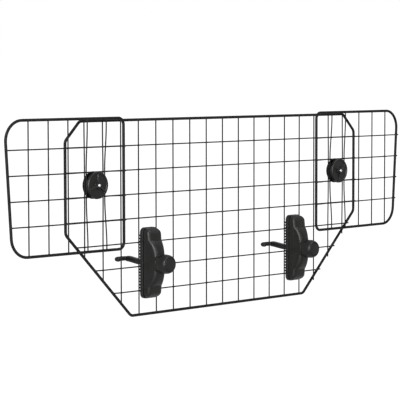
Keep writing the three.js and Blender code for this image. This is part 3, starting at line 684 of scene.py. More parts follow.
CRANK_STEPS = 8
SEAM_STEPS = 5


def side_plane_y(context, x):
    """The plane of the side rods, which leans back towards the seats past the outermost column."""
    wires, rods = context.scene.guard_wires, context.scene.guard_rods
    depth = 2 * ROD_RADIUS + wires.rod_gap + wires.diameter + rods.side_gap
    depth -= rods.side_lean * (abs(x) - outer_column_x(wires))
    return ROD_PLANE_Y - depth


def outer_column_x(wires):
    """The place of the centre mesh's last column."""
    reach = node_size("centre_frame").x / 2 - ROD_RADIUS
    return int(reach / wires.pitch) * wires.pitch


def dent_share(wires, clamp, x, z):
    """How far a wire near a clamp is drawn out of its plane, as a share of the full dent."""
    across = smooth_share(abs(abs(x) - abs(clamp.x)), wires.dent_flat_width, wires.dent_reach_width)
    along = smooth_share(abs(z - clamp.z), wires.dent_flat_height, wires.dent_reach_height)
    return (1 - across) * (1 - along)


def bend_places(middle, flat, reach, steps=10):
    """Places along a wire where its bend near a clamp needs a ring."""
    aways = [blend(flat, reach, i / steps) for i in range(steps + 1)]
    return [middle - away for away in aways] + [middle + away for away in aways]


def wire_end_reach(wires, is_slanted):
    """How far a wire runs past the centre line of the rod it is welded to."""
    return ROD_RADIUS * math.sqrt(2) if is_slanted else ROD_RADIUS - wires.end_inset


def wire_grid(name, wires, columns, rows, rods_y_at, clamped_y, clamps, column_ends, row_ends):
    """A welded grid. Columns lie against the rods, and rows lie in front of them.

    column_ends and row_ends give where a wire meets the rods, and whether those are slanted there.
    """
    form = Form()
    radius = wires.diameter / 2
    layer_step = wires.diameter - wires.weld_sink
    clamp_z = clamps[0].z

    def column_point(x, z):
        free_y = rods_y_at(x) - ROD_RADIUS - wires.rod_gap - radius
        return Vector((x, blend(free_y, clamped_y, dent_share(wires, clamps[0], x, z)), z))

    def bead(point):
        depth = radius * BEAD_DEPTH_SHARE
        form.ball(point + Y_AXIS * radius, (wires.bead_radius, depth, wires.bead_radius))

    def span(ends):
        """Where a wire starts and ends, a little past the rods that it is welded to."""
        (low, is_low_slanted), (high, is_high_slanted) = ends
        return low - wire_end_reach(wires, is_low_slanted), high + wire_end_reach(wires, is_high_slanted)

    def stops(start, places, end):
        return [start, *sorted(place for place in places if start < place < end), end]

    for x in columns:
        ends = column_ends(x)
        start, end = span(ends)
        places = []
        if dent_share(wires, clamps[0], x, clamp_z) > 0:
            places = bend_places(clamp_z, wires.dent_flat_height, wires.dent_reach_height)
        form.rod([column_point(x, z) for z in stops(start, places, end)], radius, wires.end_round)
        for z, _ in ends:
            bead(column_point(x, z))

    def row_point(x, z, first_crank, last_crank):
        past = max(first_crank - x, x - last_crank)
        crank = layer_step * smooth_share(past, 0, wires.crank_length)
        return column_point(x, z) + Y_AXIS * (crank - layer_step)

    for z in rows:
        ends = row_ends(z)
        start, end = span(ends)
        inner = [x for x in columns if start < x < end]
        first_crank = min(inner) - wires.crank_start
        last_crank = max(inner) + wires.crank_start
        places = []
        for i in range(CRANK_STEPS + 1):
            reach = wires.crank_length * i / CRANK_STEPS
            places += [first_crank - reach, last_crank + reach]
        if dent_share(wires, clamps[0], clamps[0].x, z) > 0:
            for clamp in clamps:
                places += bend_places(clamp.x, wires.dent_flat_width, wires.dent_reach_width)
        points = [row_point(x, z, first_crank, last_crank) for x in stops(start, places, end)]
        form.rod(points, radius, wires.end_round)
        for x, _ in ends:
            bead(row_point(x, z, first_crank, last_crank))
        for x in inner:
            weld = row_point(x, z, first_crank, last_crank) + Y_AXIS * layer_step / 2
            form.ball(weld, (wires.weld_radius, radius * NUGGET_DEPTH_SHARE, wires.weld_radius))
    return form.object(name)


def side_outline(rods, word):
    """Inner, outer, top and bottom of a side frame's centre lines. The outer one is at its top."""
    low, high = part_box(f"{word}_side_frame")
    inner, outer = sorted((abs(low.x), abs(high.x)))
    top, bottom = high.z - ROD_RADIUS, low.z + ROD_RADIUS
    turn = math.pi / 2 + math.atan(rods.side_taper / (top - bottom))
    outer += rods.side_outer_radius * (math.tan(turn / 2) - 1) - ROD_RADIUS
    return inner + ROD_RADIUS, outer, top, bottom


def centre_outline():
    """Half width, top and bottom of the centre frame's centre lines."""
    low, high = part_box("centre_frame")
    return high.x - ROD_RADIUS, high.z - ROD_RADIUS, low.z + ROD_RADIUS


class GUARD_OT_frames(bpy.types.Operator):
    """Bends the coated rods of the centre frame and the two side frames"""

    bl_idname = "guard.frames"
    bl_label = "Rod Frames"

    def execute(self, context):
        rods = context.scene.guard_rods
        half, top, bottom = centre_outline()
        corners = [(half - rods.top_chamfer, top), (half, top - rods.top_chamfer),
                   (half, bottom + rods.low_chamfer), (half - rods.low_chamfer, bottom)]
        corners += [(-x, z) for x, z in reversed(corners)]
        loop = [(Vector((x, ROD_PLANE_Y, z)), rods.corner_radius) for x, z in corners]
        self.bend(rods, "centre_rod_loop", "centre_frame", loop, Y_AXIS, 12)

        for side, word in SIDES:
            inner, outer, top, bottom = side_outline(rods, word)
            corners = [(inner, top, rods.side_inner_radius), (outer, top, rods.side_outer_radius),
                       (outer - rods.side_taper, bottom, rods.side_outer_radius),
                       (inner, bottom, rods.side_inner_radius)]
            loop = [(Vector((side * x, side_plane_y(context, x), z)), radius) for x, z, radius in corners]
            square_to_panel = Vector((-side * rods.side_lean, 1, 0)).normalized()
            self.bend(rods, f"{word}_rod_loop", f"{word}_side_frame", loop, square_to_panel, 16)
        return {"FINISHED"}

    def bend(self, rods, name, node, loop, up, steps):
        """Sweeps a closed rod, with its butt weld in the middle of the lower rod."""
        stations = [(at, along, 1.0) for at, along in rounded_path(loop, is_loop=True, steps=steps)]
        low_z = min(at.z for at, _, _ in stations)
        spans = []
        for i, (at, _, _) in enumerate(stations):
            after = stations[(i + 1) % len(stations)][0]
            if max(at.z, after.z) - low_z < MERGE_DISTANCE:
                spans.append(((after - at).length, i))
        first = max(spans)[1]
        start, along, _ = stations[first]
        middle = start.lerp(stations[(first + 1) % len(stations)][0], 0.5)
        seam = []
        for step in range(-SEAM_STEPS, SEAM_STEPS + 1):
            rise = rods.seam_rise * math.cos(step / SEAM_STEPS * math.pi / 2)
            place = middle + along * rods.seam_width / 2 * step / SEAM_STEPS
            seam.append((place, along, 1 + rise / ROD_RADIUS))
        stations[first + 1:first + 1] = seam
        form = Form().sweep(stations, circle(ROD_RADIUS, 24), up, is_loop=True)
        finish_piece(form.object(name), "black_coat", node)


class GUARD_OT_grids(bpy.types.Operator):
    """Welds the wire grids of the centre panel and the two side panels"""

    bl_idname = "guard.grids"
    bl_label = "Wire Grids"

    def execute(self, context):
        wires = context.scene.guard_wires
        rods = context.scene.guard_rods
        clamps = [node_centre(f"{word}_clamp_bolt") for _, word in SIDES]
        half, top, bottom = centre_outline()
        outer_column = outer_column_x(wires)
        count = int(round(2 * outer_column / wires.pitch)) + 1
        columns = [i * wires.pitch - outer_column for i in range(count)]
        top_row = clamps[0].z + wires.clamp_drop + wires.pitch * TOP_ROW_PITCHES
        rows = [top_row - i * wires.pitch for i in range(ROW_COUNT)]
        slant_top = bottom + rods.low_chamfer

        def column_ends(x):
            past = max(abs(x) - (half - rods.low_chamfer), 0)
            return (bottom + past, past > 0), (top, False)

        def row_ends(z):
            past = max(z - (top - rods.top_chamfer), slant_top - z, 0)
            return (past - half, z < slant_top), (half - past, z < slant_top)

        seat_y = ROD_PLANE_Y - ROD_RADIUS - wires.rod_gap - wires.dent_depth
        grid = wire_grid("centre_wire_grid", wires, columns, rows, lambda x: ROD_PLANE_Y,
                         seat_y - wires.diameter / 2, clamps, column_ends, row_ends)
        finish_piece(grid, "black_coat", "centre_mesh")

        mesh_depth = 2 * wires.diameter - wires.weld_sink
        side_seat_y = seat_y - mesh_depth - wires.rod_gap
        for (side, word), clamp in zip(SIDES, clamps):
            inner, outer, side_top, side_bottom = side_outline(rods, word)
            first = abs(clamp.x) - wires.pitch / 2
            side_columns = [side * (first + i * wires.pitch) for i in range(SIDE_COLUMN_COUNT)]

            def side_row_ends(z):
                lean = rods.side_taper * (side_top - z) / (side_top - side_bottom)
                return sorted(((side * inner, False), (side * (outer - lean), False)))

            grid = wire_grid(f"{word}_wire_grid", wires, side_columns, rows[:SIDE_ROW_COUNT],
                             lambda x: side_plane_y(context, x), side_seat_y - wires.diameter / 2, [clamp],
                             lambda x: ((side_bottom, False), (side_top, False)), side_row_ends)
            finish_piece(grid, "black_coat", f"{word}_side_mesh")
        return {"FINISHED"}


# Clamps


# Shapes of a clamp's bolt, as shares of its diameter, its head's depth and its thread's pitch
SOCKET_SHARE = 0.38
SOCKET_DEPTH_SHARE = 0.6
HEAD_ROUND_SHARE = 0.45
THREAD_DEPTH_SHARE = 0.54

THREAD_PITCH = MM
THREAD_END_ROUND = MM * 0.4
THREAD_SIDES = 28
THREAD_STEPS_PER_TURN = 8

# How much steeper than a plain zigzag the thread is, which leaves it a flat crest
THREAD_STEEPNESS = 1.3

WHEEL_SECTORS = 180
WHEEL_RINGS = 48
WING_COUNT = 3


def threaded(form, radius, start, end, place):
    """A screw thread between two forward distances from place."""
    count = max(int((end - start) / THREAD_PITCH * THREAD_STEPS_PER_TURN), 2)
    depth = THREAD_PITCH * THREAD_DEPTH_SHARE
    rings = []
    for i in range(count + 1):
        forward = start + (end - start) * i / count
        taper = min((end - forward) / (THREAD_END_ROUND * 2), 1.0)
        ring = []
        for j in range(THREAD_SIDES):
            angle = math.tau * j / THREAD_SIDES
            phase = (forward / THREAD_PITCH - j / THREAD_SIDES) % 1.0
            crest = min((1 - abs(2 * phase - 1)) * THREAD_STEEPNESS, 1.0)
            reach = radius - depth * (1 - crest) - THREAD_END_ROUND * (1 - taper)
            ring.append(place + Vector((reach * math.cos(angle), -forward, reach * math.sin(angle))))
        rings.append(ring)
    return form.loft(rings)


class GUARD_OT_clamps(bpy.types.Operator):
    """Builds the two screw clamps that hold the side panels"""

    bl_idname = "guard.clamps"
    bl_label = "Screw Clamps"

    def execute(self, context):
        sizes = context.scene.guard_clamps
        for side, word in SIDES:
            place = node_axis(f"{word}_clamp_bolt")
            self.back_disc(sizes, word, place)
            self.bolt(sizes, word, place)
            self.front_pad(sizes, word, place)
            self.wheel(sizes, word, place, side)
        return {"FINISHED"}

    def back_disc(self, sizes, word, place):
        node = f"{word}_clamp_back_disc"
        radius, rear, front = node_reach(node)
        bore = sizes.bolt_diameter / 2 + sizes.hole_gap
        head = node_size(f"{word}_clamp_bolt").x / 2 + sizes.hole_gap
        flat = radius - sizes.disc_chamfer
        groove, edge = sizes.disc_groove, sizes.edge
        corners = [
            (bore, front, 0), (radius, front, edge / 2), (radius, rear + sizes.disc_chamfer, edge * 2),
            (flat, rear, edge * 2), (flat - groove * 3, rear, edge / 3),
            (flat - groove * 4, rear + groove, edge / 3), (head + groove * 5, rear + groove, edge / 3),
            (head + groove * 4, rear, edge / 3), (head, rear, edge / 3),
            (head, rear + sizes.head_pocket, 0), (bore, rear + sizes.head_pocket, 0),
        ]
        turned_piece(f"{word}_backing_disc", "black_plastic", node, corners, place, is_ring=True)

    def bolt(self, sizes, word, place):
        node = f"{word}_clamp_bolt"
        head, rear, end = node_reach(node)
        shank = sizes.bolt_diameter / 2
        seat = rear + sizes.head_depth
        neck = seat + sizes.bolt_diameter / 2
        head_round = sizes.head_depth * HEAD_ROUND_SHARE
        corners = [(0, rear, 0), (head, rear, head_round), (head, seat, sizes.edge / 3),
                   (shank, seat, sizes.edge / 4), (shank, neck, 0), (0, neck, 0)]
        bolt = Form().turned(rounded(corners), place, sides=48).object(f"{word}_clamp_screw")
        hexagon = circle(sizes.bolt_diameter * SOCKET_SHARE, 6)
        socket = prism(place, hexagon, rear - sizes.edge, rear + sizes.head_depth * SOCKET_DEPTH_SHARE)
        carve(bolt, ("DIFFERENCE", socket.object("socket")))
        thread = Form()
        thread.bm.from_mesh(bolt.data)
        threaded(thread, shank, neck - sizes.edge / 2, end, place)
        bpy.data.objects.remove(bolt)
        finish_piece(thread.object(f"{word}_clamp_screw"), "zinc_steel", node)

    def front_pad(self, sizes, word, place):
        node = f"{word}_clamp_front_pad"
        radius, rear, front = node_reach(node)
        bore = sizes.bolt_diameter / 2 + sizes.hole_gap
        corners = [(bore, rear, 0), (radius, rear, sizes.edge / 3), (radius, front, sizes.edge * 0.6),
                   (bore, front, 0)]
        turned_piece(f"{word}_pressure_disc", "black_plastic", node, corners, place, is_ring=True)

    def wheel(self, sizes, word, place, side):
        """The dished hand wheel, whose front is worked out as a height over its disc."""
        node = f"{word}_clamp_wheel"
        radius, rear, hub_front = node_reach(node)
        insert_radius, _, insert_end = node_reach(f"{word}_clamp_insert")
        insert_gap = sizes.hole_gap / 2
        insert_bore, insert_front = insert_radius + insert_gap, insert_end + insert_gap
        rim_front = rear + sizes.rim_depth
        rim_radius = radius - sizes.rim_slope
        inner_rim = rim_radius - sizes.rim_width
        floor = rear + sizes.floor_depth
        bore = sizes.bolt_diameter / 2 + sizes.hole_gap
        edge = sizes.edge
        wing_half = sizes.wing_width / 2

        def front_at(distance, angle):
            """The front's height at a distance from the axis, in the direction of an angle."""
            hub_share = smooth_share(distance, sizes.hub_radius - edge, sizes.hub_radius + edge)
            rim_share = smooth_share(distance, inner_rim - edge, inner_rim + edge / 2)
            height = max(blend(hub_front, floor, hub_share), blend(floor, rim_front, rim_share))
            for i in range(WING_COUNT):
                turn = angle - (i * math.tau / WING_COUNT + sizes.wing_turn * side)
                turn = (turn + math.pi) % math.tau - math.pi
                if abs(turn) > math.pi / 2:
                    continue
                away = abs(distance * math.sin(turn))
                slope = sizes.wing_slope / 2
                flank = smooth_share(away, wing_half - slope, wing_half + slope)
                reach = min(max((distance - sizes.hub_radius) / (inner_rim - sizes.hub_radius), 0), 1)
                crest = blend(hub_front - edge, rim_front - edge * 0.4, reach)
                height = soft_max(height, blend(crest, floor - edge, flank), edge)
            return min(height, hub_front)

        step = math.tau / WHEEL_SECTORS

        def ring(distance, front_of):
            turns = [i * step for i in range(WHEEL_SECTORS)]
            return [place + Vector((distance * math.cos(turn), -front_of(turn), distance * math.sin(turn)))
                    for turn in turns]

        outline = rounded([
            (bore, insert_front, 0), (insert_bore, insert_front, 0), (insert_bore, rear, 0),
            (radius, rear, edge / 3), (radius, rear + sizes.rim_foot, edge / 3),
            (rim_radius, rim_front, edge), (rim_radius - edge, rim_front, 0),
        ])
        rings = [ring(distance, lambda _, front=forward: front) for distance, forward in outline]
        start = rim_radius - edge
        for i in range(1, WHEEL_RINGS + 1):
            distance = blend(start, bore, i / WHEEL_RINGS)
            rings.append(ring(distance, lambda turn, at=distance: front_at(at, turn)))
        wheel = Form().loft(rings, is_loop=True).object(f"{word}_hand_wheel", 50)
        finish_piece(wheel, "black_plastic", node)


# Headrest brackets, whose four screws are standard 3.4 mm ones

SCREW_RADIUS = MM * 1.7
SCREW_HEAD_DEPTH = MM * 2.4
CROSS_ARM_SHARE = 0.6
CROSS_WIDTH_SHARE = 0.14

PLATE_EDGE = MM
TOOTH_EDGE = MM * 0.25
COLLAR_EDGE = MM * 1.3

# Longest stretch of the bend at the foot of the cover's leaning sides
SHOULDER_BOW = MM * 3
SHOULDER_STEPS = 4

# Height over which the seam's groove ends
GROOVE_SLOPE = MERGE_DISTANCE * 50

# Powers of the curves of the cover's rounded ends and of its bulge
END_POWER = 1.6
BULGE_POWER = 0.75

# The share of the ends' length at which they have their stated depth
END_MIDDLE_SHARE = 0.5

# Rings near an end, as shares of the edge or the corner that they round
PLATE_EDGE_SHARES = (0.1, 0.3, 0.6, 1.0)
COVER_CORNER_SHARES = (0.005, 0.02, 0.05)

# Heights of rings are rounded to this many decimals of a metre, so that equal ones are one
LEVEL_DECIMALS = 7
LEVEL_STEP = MERGE_DISTANCE / 10


def mirrored_levels(heights):
    """Heights above and below a bracket's middle, in order."""
    return sorted({round(sign * z, LEVEL_DECIMALS) for z in heights for sign in (1, -1)})


def arc_height(past, radius):
    """Height of a circle's arc at a distance from its middle, or 0 beyond it."""
    return math.sqrt(max(radius ** 2 - past ** 2, 0))


def closed_ring(centre, z, half_ring):
    """A level ring from its rear's (x, forward) points and its right side's, which are mirrored."""
    ring = half_ring + [(-x, forward) for x, forward in reversed(half_ring[2:])]
    return [Vector((centre.x + x, -forward, centre.z + z)) for x, forward in ring]


class GUARD_OT_brackets(bpy.types.Operator):
    """Builds the toothed plates, covers and screws of the two headrest brackets"""

    bl_idname = "guard.brackets"
    bl_label = "Headrest Brackets"

    def execute(self, context):
        sizes = context.scene.guard_brackets
        hook = context.scene.guard_hooks
        for _, word in SIDES:
            self.plate(sizes, hook, word)
            self.cover(sizes, word)
            for end in ("lower", "upper"):
                self.screw(word, end)
        return {"FINISHED"}

    def plate(self, sizes, hook, word):
        """The plate is lofted from its lower end to its upper end, so its teeth are steps of its rings."""
        node = f"{word}_bracket_pad"
        low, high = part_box(node)
        centre = (low + high) / 2
        half_x, half_z = (high.x - low.x) / 2, (high.z - low.z) / 2
        tips, front = -high.y, -low.y
        root = tips + sizes.tooth_depth
        corner = sizes.corner_radius
        edge, soft = PLATE_EDGE, TOOTH_EDGE
        ends = [half_z - corner * (1 - math.sin(turn)) for turn in quarter_turns(10)]
        ends += [half_z - edge * part for part in PLATE_EDGE_SHARES]
        room = 2 * (half_z - sizes.tooth_margin) - sizes.tooth_root
        count = int(room / sizes.tooth_pitch) + 1
        marks = []
        for i in range(count):
            middle = (i - (count - 1) / 2) * sizes.tooth_pitch
            for sign, turn in ((-1, 1), (1, -1)):
                flank = [(middle + sign * sizes.tooth_root / 2, root),
                         (middle + sign * (sizes.tooth_tip / 2 + soft / 2), tips + soft),
                         (middle + sign * (sizes.tooth_tip / 2 - soft), tips)]
                marks += flank[::turn]
        heights = sorted({*mirrored_levels(ends), *(round(z, LEVEL_DECIMALS) for z, _ in marks)})

        def rear_at(z):
            for (z0, f0), (z1, f1) in zip(marks, marks[1:]):
                if z0 - LEVEL_STEP <= z <= z1 + LEVEL_STEP:
                    return blend(f0, f1, (z - z0) / max(z1 - z0, LEVEL_STEP))
            return root

        rings = []
        for z in heights:
            past = max(abs(z) - (half_z - corner), 0)
            width = half_x - corner + arc_height(past, corner)
            past_edge = max(abs(z) - (half_z - edge), 0)
            drop = edge - arc_height(past_edge, edge)
            rear = rear_at(z)
            ring = [(-width, rear), (width, rear)]
            for turn in quarter_turns(5):
                ring.append((width - edge * (1 - math.cos(turn)),
                             front - drop - edge * (1 - math.sin(turn))))
            rings.append(closed_ring(centre, z, ring))
        plate = Form().loft(rings).object(f"{word}_toothed_plate")
        guide = square_section(hook.arm_width + 2 * sizes.guide_gap, hook.arm_corner)
        behind, ahead = tips - edge, front + edge
        opening = prism(Vector(), [(centre.x + u, v) for u, v in guide], behind, ahead)
        steps = [("DIFFERENCE", opening.object("guide"))]
        for end in ("lower", "upper"):
            screw = f"{word}_bracket_screw_{end}"
            pocket = node_size(screw).x / 2 + sizes.screw_gap
            seat = root + SCREW_HEAD_DEPTH + sizes.screw_gap
            hole = SCREW_RADIUS + sizes.screw_gap
            profile = [(0, behind), (pocket, behind), (pocket, seat),
                       (hole, seat), (hole, ahead), (0, ahead)]
            pocket_form = Form().turned(profile, node_axis(screw), sides=40)
            steps.append(("DIFFERENCE", pocket_form.object("pocket")))
        carve(plate, *steps)
        finish_piece(plate, "black_plastic", node)

    def shell(self, sizes, word, wall):
        """The cover's outside or, with a wall, its inside, lofted from its lower to its upper end."""
        low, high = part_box(f"{word}_bracket_body")
        centre = (low + high) / 2
        plate_front = -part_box(f"{word}_bracket_pad")[0].y
        open_rear = -high.y
        half_x, half_z = (high.x - low.x) / 2 - wall, (high.z - low.z) / 2 - wall
        corner = sizes.corner_radius - wall
        round_height, round_depth = sizes.end_round_height - wall, sizes.end_round_depth - wall
        edge = sizes.edge_radius - wall
        rear = open_rear - wall
        ends = [half_z - round_height * (1 - math.sin(turn)) for turn in quarter_turns(14)]
        ends += [half_z - corner * part for part in COVER_CORNER_SHARES]
        ends += [blend(sizes.seat_half_height, sizes.bulge_half_height, math.sin(turn))
                 for turn in quarter_turns(36)]
        ends += [blend(sizes.bulge_half_height, half_z - round_height, i / 3) for i in range(1, 3)]
        step = sizes.seam_groove
        if wall == 0:
            ends += [half_z - step, half_z - step - GROOVE_SLOPE]
        rings = []
        for z in mirrored_levels(ends):
            past = max(abs(z) - (half_z - corner), 0)
            width = half_x - corner + arc_height(past, corner)
            past_round = max(abs(z) - (half_z - round_height), 0) / round_height
            drop = round_depth * (1 - (1 - min(past_round, 1) ** END_POWER) ** (1 / END_POWER))
            bulge_height = sizes.bulge_half_height - sizes.seat_half_height
            up = max(abs(z) - sizes.seat_half_height, 0) / bulge_height
            arch = (1 - min(up, 1) ** 2) ** BULGE_POWER
            along_end = (abs(z) - sizes.bulge_half_height) / (half_z - sizes.bulge_half_height)
            end_depth = sizes.end_depth + sizes.end_rise * (END_MIDDLE_SHARE - min(max(along_end, 0), 1))
            front = plate_front + blend(end_depth, sizes.bulge_depth, arch) - wall - drop
            front_width = width - sizes.side_inset * arch
            edge_here = min(edge, (front - open_rear) / 2)
            shoulder = min(plate_front + sizes.shoulder_depth - wall, front - edge_here)
            foot, knee = Vector((width, shoulder)), Vector((front_width, front - edge_here))
            bow = min((knee - foot).length / 2, SHOULDER_BOW)
            along = (knee - foot).normalized() if bow > 0 else Vector((0, 1))
            ring = [(-width, rear), (width, rear)]
            if wall == 0:
                foot_rear = rear + step if abs(z) > half_z - step - GROOVE_SLOPE / 2 else rear
                ring = [(step - width, foot_rear), (width - step, foot_rear), (width - step, rear + step),
                        (width, rear + step)]
            for i in range(SHOULDER_STEPS + 1):
                part = i / SHOULDER_STEPS
                first = foot - Vector((0, bow)) * (1 - part)
                second = foot + along * bow * part
                ring.append(tuple(first.lerp(second, part)))
            for turn in quarter_turns(10):
                ring.append((front_width - edge_here * (1 - math.cos(turn)),
                             front - edge_here * (1 - math.sin(turn))))
            rings.append(closed_ring(centre, z, ring))
        return Form().loft(rings)

    def cover(self, sizes, word):
        """The cover is a shell with a round collar under the knob and two screw bosses behind its ends."""
        node = f"{word}_bracket_body"
        axis = node_axis(node)
        half_width, rear, front = node_reach(node)
        behind, wall = rear - sizes.wall, sizes.wall
        collar = half_width - sizes.collar_inset

        def bar(radius, start, end, place=axis, rounding=0.0):
            corners = [(0, start, 0), (radius, start, 0), (radius, end, rounding), (0, end, 0)]
            return Form().turned(rounded(corners), place, sides=72).object("bar")

        steps = [("UNION", bar(collar, rear, front, rounding=COLLAR_EDGE)),
                 ("DIFFERENCE", self.shell(sizes, word, wall).object("inside")),
                 ("DIFFERENCE", bar(collar - wall, behind, front - wall))]
        for end in ("lower", "upper"):
            screw = f"{word}_bracket_screw_{end}"
            spot = Vector((axis.x, 0, node_centre(screw).z))
            bore_end = node_reach(screw)[2] + wall / 5
            steps.append(("UNION", bar(sizes.boss_radius, rear, bore_end + wall / 3, spot)))
            steps.append(("DIFFERENCE", bar(SCREW_RADIUS + sizes.screw_gap / 2, behind, bore_end, spot)))
        steps.append(("DIFFERENCE", bar(sizes.stem_hole, behind, front + wall)))
        cover = self.shell(sizes, word, 0).object(f"{word}_bracket_cover")
        carve(cover, *steps)
        finish_piece(cover, "black_plastic", node)

    def screw(self, word, end):
        node = f"{word}_bracket_screw_{end}"
        place = node_axis(node)
        head, rear, tip = node_reach(node)
        seat = rear + SCREW_HEAD_DEPTH
        corners = [(0, rear, 0), (head, rear, head / 3), (head, seat, 0), (SCREW_RADIUS, seat, 0),
                   (SCREW_RADIUS, tip - SCREW_RADIUS, 0), (SCREW_RADIUS / 2, tip, 0), (0, tip, 0)]
        screw = Form().turned(rounded(corners), place, sides=32).object(f"{word}_{end}_screw")
        arm, width = head * CROSS_ARM_SHARE, head * CROSS_WIDTH_SHARE
        quarter = ((arm, width), (width, width), (width, arm))
        outline = []
        for x, z in ((1, 0), (0, 1), (-1, 0), (0, -1)):
            outline += [(x * u - z * v, z * u + x * v) for u, v in quarter]
        cross = prism(place, outline, rear - head, rear + SCREW_HEAD_DEPTH / 2).object("cross")
        carve(screw, ("DIFFERENCE", cross))
        finish_piece(screw, "zinc_steel", node)


ARM_EDGE = MM * 0.9
GRIP_GAP = MM * 0.3
GRIP_EDGE = MM * 0.4
GRIP_EDGE_SHARE = 0.93

# How far a point may lie beside the arm's line and still belong to the arm
ARM_LINE_WIDTH = MM * 0.1

# Least distance between the arm sleeve's end and the ring before it
ARM_END_MARGIN = MM


def hook_corners(hook, x, from_forward, lip_length):
    """Corners of the hook's centre line, from a forward distance on its shank to the lip's tip."""
    y0 = ROD_PLANE_Y
    lip_x = x - (hook.arm_width / 2 + hook.throat + hook.grip_diameter / 2)
    return [
        (Vector((x, y0 - from_forward, 0)), 0),
        (Vector((x, y0 + hook.rise_start, 0)), hook.rise_radius),
        (Vector((x, y0 + hook.rise_start + hook.rise_length, hook.rise)), hook.rise_radius),
        (Vector((x, y0 + hook.reach, hook.rise)), hook.bend_radius),
        (Vector((lip_x, y0 + hook.reach, hook.rise)), hook.bend_radius),
        (Vector((lip_x, y0 + hook.reach - lip_length, hook.rise)), 0),
    ]


class GUARD_OT_hooks(bpy.types.Operator):
    """Builds the sleeves on the two draw hooks"""

    bl_idname = "guard.hooks"
    bl_label = "Draw Hooks"

    def execute(self, context):
        hook = context.scene.guard_hooks
        for _, word in SIDES:
            x = node_centre(f"{word}_hook_arm_sleeve").x
            self.arm(hook, word, x)
            self.grip(hook, word, x)
            paint(frame["nodes"][f"{word}_hook"], "zinc_steel")
        return {"FINISHED"}

    def arm(self, hook, word, x):
        node = f"{word}_hook_arm_sleeve"
        low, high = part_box(node)
        arm_end = high.y
        corners = hook_corners(hook, x, ROD_PLANE_Y - low.y, hook.lip)
        stations = rounded_path(corners, is_loop=False, steps=8)
        kept = [(at, along) for at, along in stations
                if at.y < arm_end - ARM_END_MARGIN and at.x > x - ARM_LINE_WIDTH]
        kept.append((Vector((x, arm_end, hook.rise)), Y_AXIS.copy()))
        swept = []
        for sign, (at, along) in ((1, kept[0]), (-1, kept[-1])):
            end_rings = []
            for degrees in (3, 25, 50, 75):
                turn = math.radians(degrees)
                end_rings.append((at + along * sign * ARM_EDGE * (1 - math.cos(turn)), along,
                                  1 - ARM_EDGE * 2 / hook.arm_width * (1 - math.sin(turn))))
            swept.append(end_rings)
        middle = [(at, along, 1.0) for at, along in kept[1:-1]]
        stations = [*swept[0], *middle, *reversed(swept[1])]
        form = Form().sweep(stations, square_section(hook.arm_width, hook.arm_corner), Z_AXIS)
        finish_piece(form.object(f"{word}_arm_cover"), "black_plastic", node)

    def grip(self, hook, word, x):
        node = f"{word}_hook_grip_sleeve"
        radius = hook.grip_diameter / 2
        arm_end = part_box(f"{word}_hook_arm_sleeve")[1].y
        corners = hook_corners(hook, x, 0, hook.lip - radius)
        stations = rounded_path(corners, is_loop=False, steps=12)
        start = Vector((x, arm_end + GRIP_GAP, hook.rise))
        kept = [(start, Y_AXIS.copy(), GRIP_EDGE_SHARE), (start + Y_AXIS * GRIP_EDGE, Y_AXIS.copy(), 1.0)]
        kept += [(at, along, 1.0) for at, along in stations if at.x < x - ARM_LINE_WIDTH]
        tip, along, _ = kept[-1]
        for degrees in (20, 38, 54, 68, 80, 87):
            turn = math.radians(degrees)
            kept.append((tip + along * radius * math.sin(turn), along, math.cos(turn)))
        form = Form().sweep(kept, circle(radius, 28), Z_AXIS)
        finish_piece(form.object(f"{word}_grip_cover"), "black_rubber", node)


# Share of the room between the knob's face and its lid that the groove's rounding takes
GROOVE_WIDTH_SHARE = 0.9


class GUARD_OT_knobs(bpy.types.Operator):
    """Builds the two knobs with their lids and brass inserts"""

    bl_idname = "guard.knobs"
    bl_label = "Knobs"

    def execute(self, context):
        sizes = context.scene.guard_knobs
        for _, word in SIDES:
            self.knob(sizes, word)
            self.lid(sizes, word)
            for node in (f"{word}_knob_insert", f"{word}_clamp_insert"):
                paint(frame["nodes"][node], "brass")
        return {"FINISHED"}

    def knob(self, sizes, word):
        node = f"{word}_knob"
        place = node_axis(node)
        radius, stem_rear, front = node_reach(node)
        rear = node_reach(f"{word}_bracket_body")[2] + sizes.play
        face, stem, edge = sizes.face_diameter / 2, sizes.stem_diameter / 2, sizes.edge
        insert_front = node_reach(f"{word}_knob_insert")[2] + sizes.lid_gap
        bore = sizes.insert_diameter / 2 + sizes.lid_gap
        shank_bore = ROD_RADIUS + sizes.lid_gap * 2
        lid_radius, lid_rear, _ = node_reach(f"{word}_knob_cap")
        lid_bore, lid_seat = lid_radius + sizes.lid_gap, lid_rear - sizes.lid_gap
        dome_start = rear + sizes.skirt
        profile = [(bore, stem_rear), (stem, stem_rear), (stem, rear + sizes.wall),
                   (radius - sizes.wall, rear + sizes.wall), (radius - sizes.wall, rear)]
        for turn in quarter_turns(5):
            profile.append((radius - edge * (1 - math.sin(turn)), rear + edge * (1 - math.cos(turn))))
        for turn in quarter_turns(24):
            profile.append((face + (radius - face) * math.cos(turn),
                            dome_start + (front - dome_start) * math.sin(turn)))
        for turn in quarter_turns(4):
            profile.append((lid_bore + (face - lid_bore) * GROOVE_WIDTH_SHARE * (1 - math.sin(turn)),
                            front - sizes.groove * (1 - math.cos(turn))))
        profile += [(lid_bore, lid_seat), (shank_bore, lid_seat), (shank_bore, insert_front),
                    (bore, insert_front)]
        form = Form().turned(profile, place, sides=128, is_ring=True)
        finish_piece(form.object(f"{word}_round_knob"), "black_plastic", node)

    def lid(self, sizes, word):
        node = f"{word}_knob_cap"
        radius, rear, front = node_reach(node)
        corners = [(0, rear, 0), (radius, rear, 0), (radius, front, sizes.groove), (0, front, 0)]
        turned_piece(f"{word}_knob_lid", "black_plastic", node, corners, node_axis(node))


# Stage


FLOOR_HALF_WIDTH = 30.0
SENSOR_WIDTH_MM = 36
CLIP_START = 0.05
CLIP_END = 100

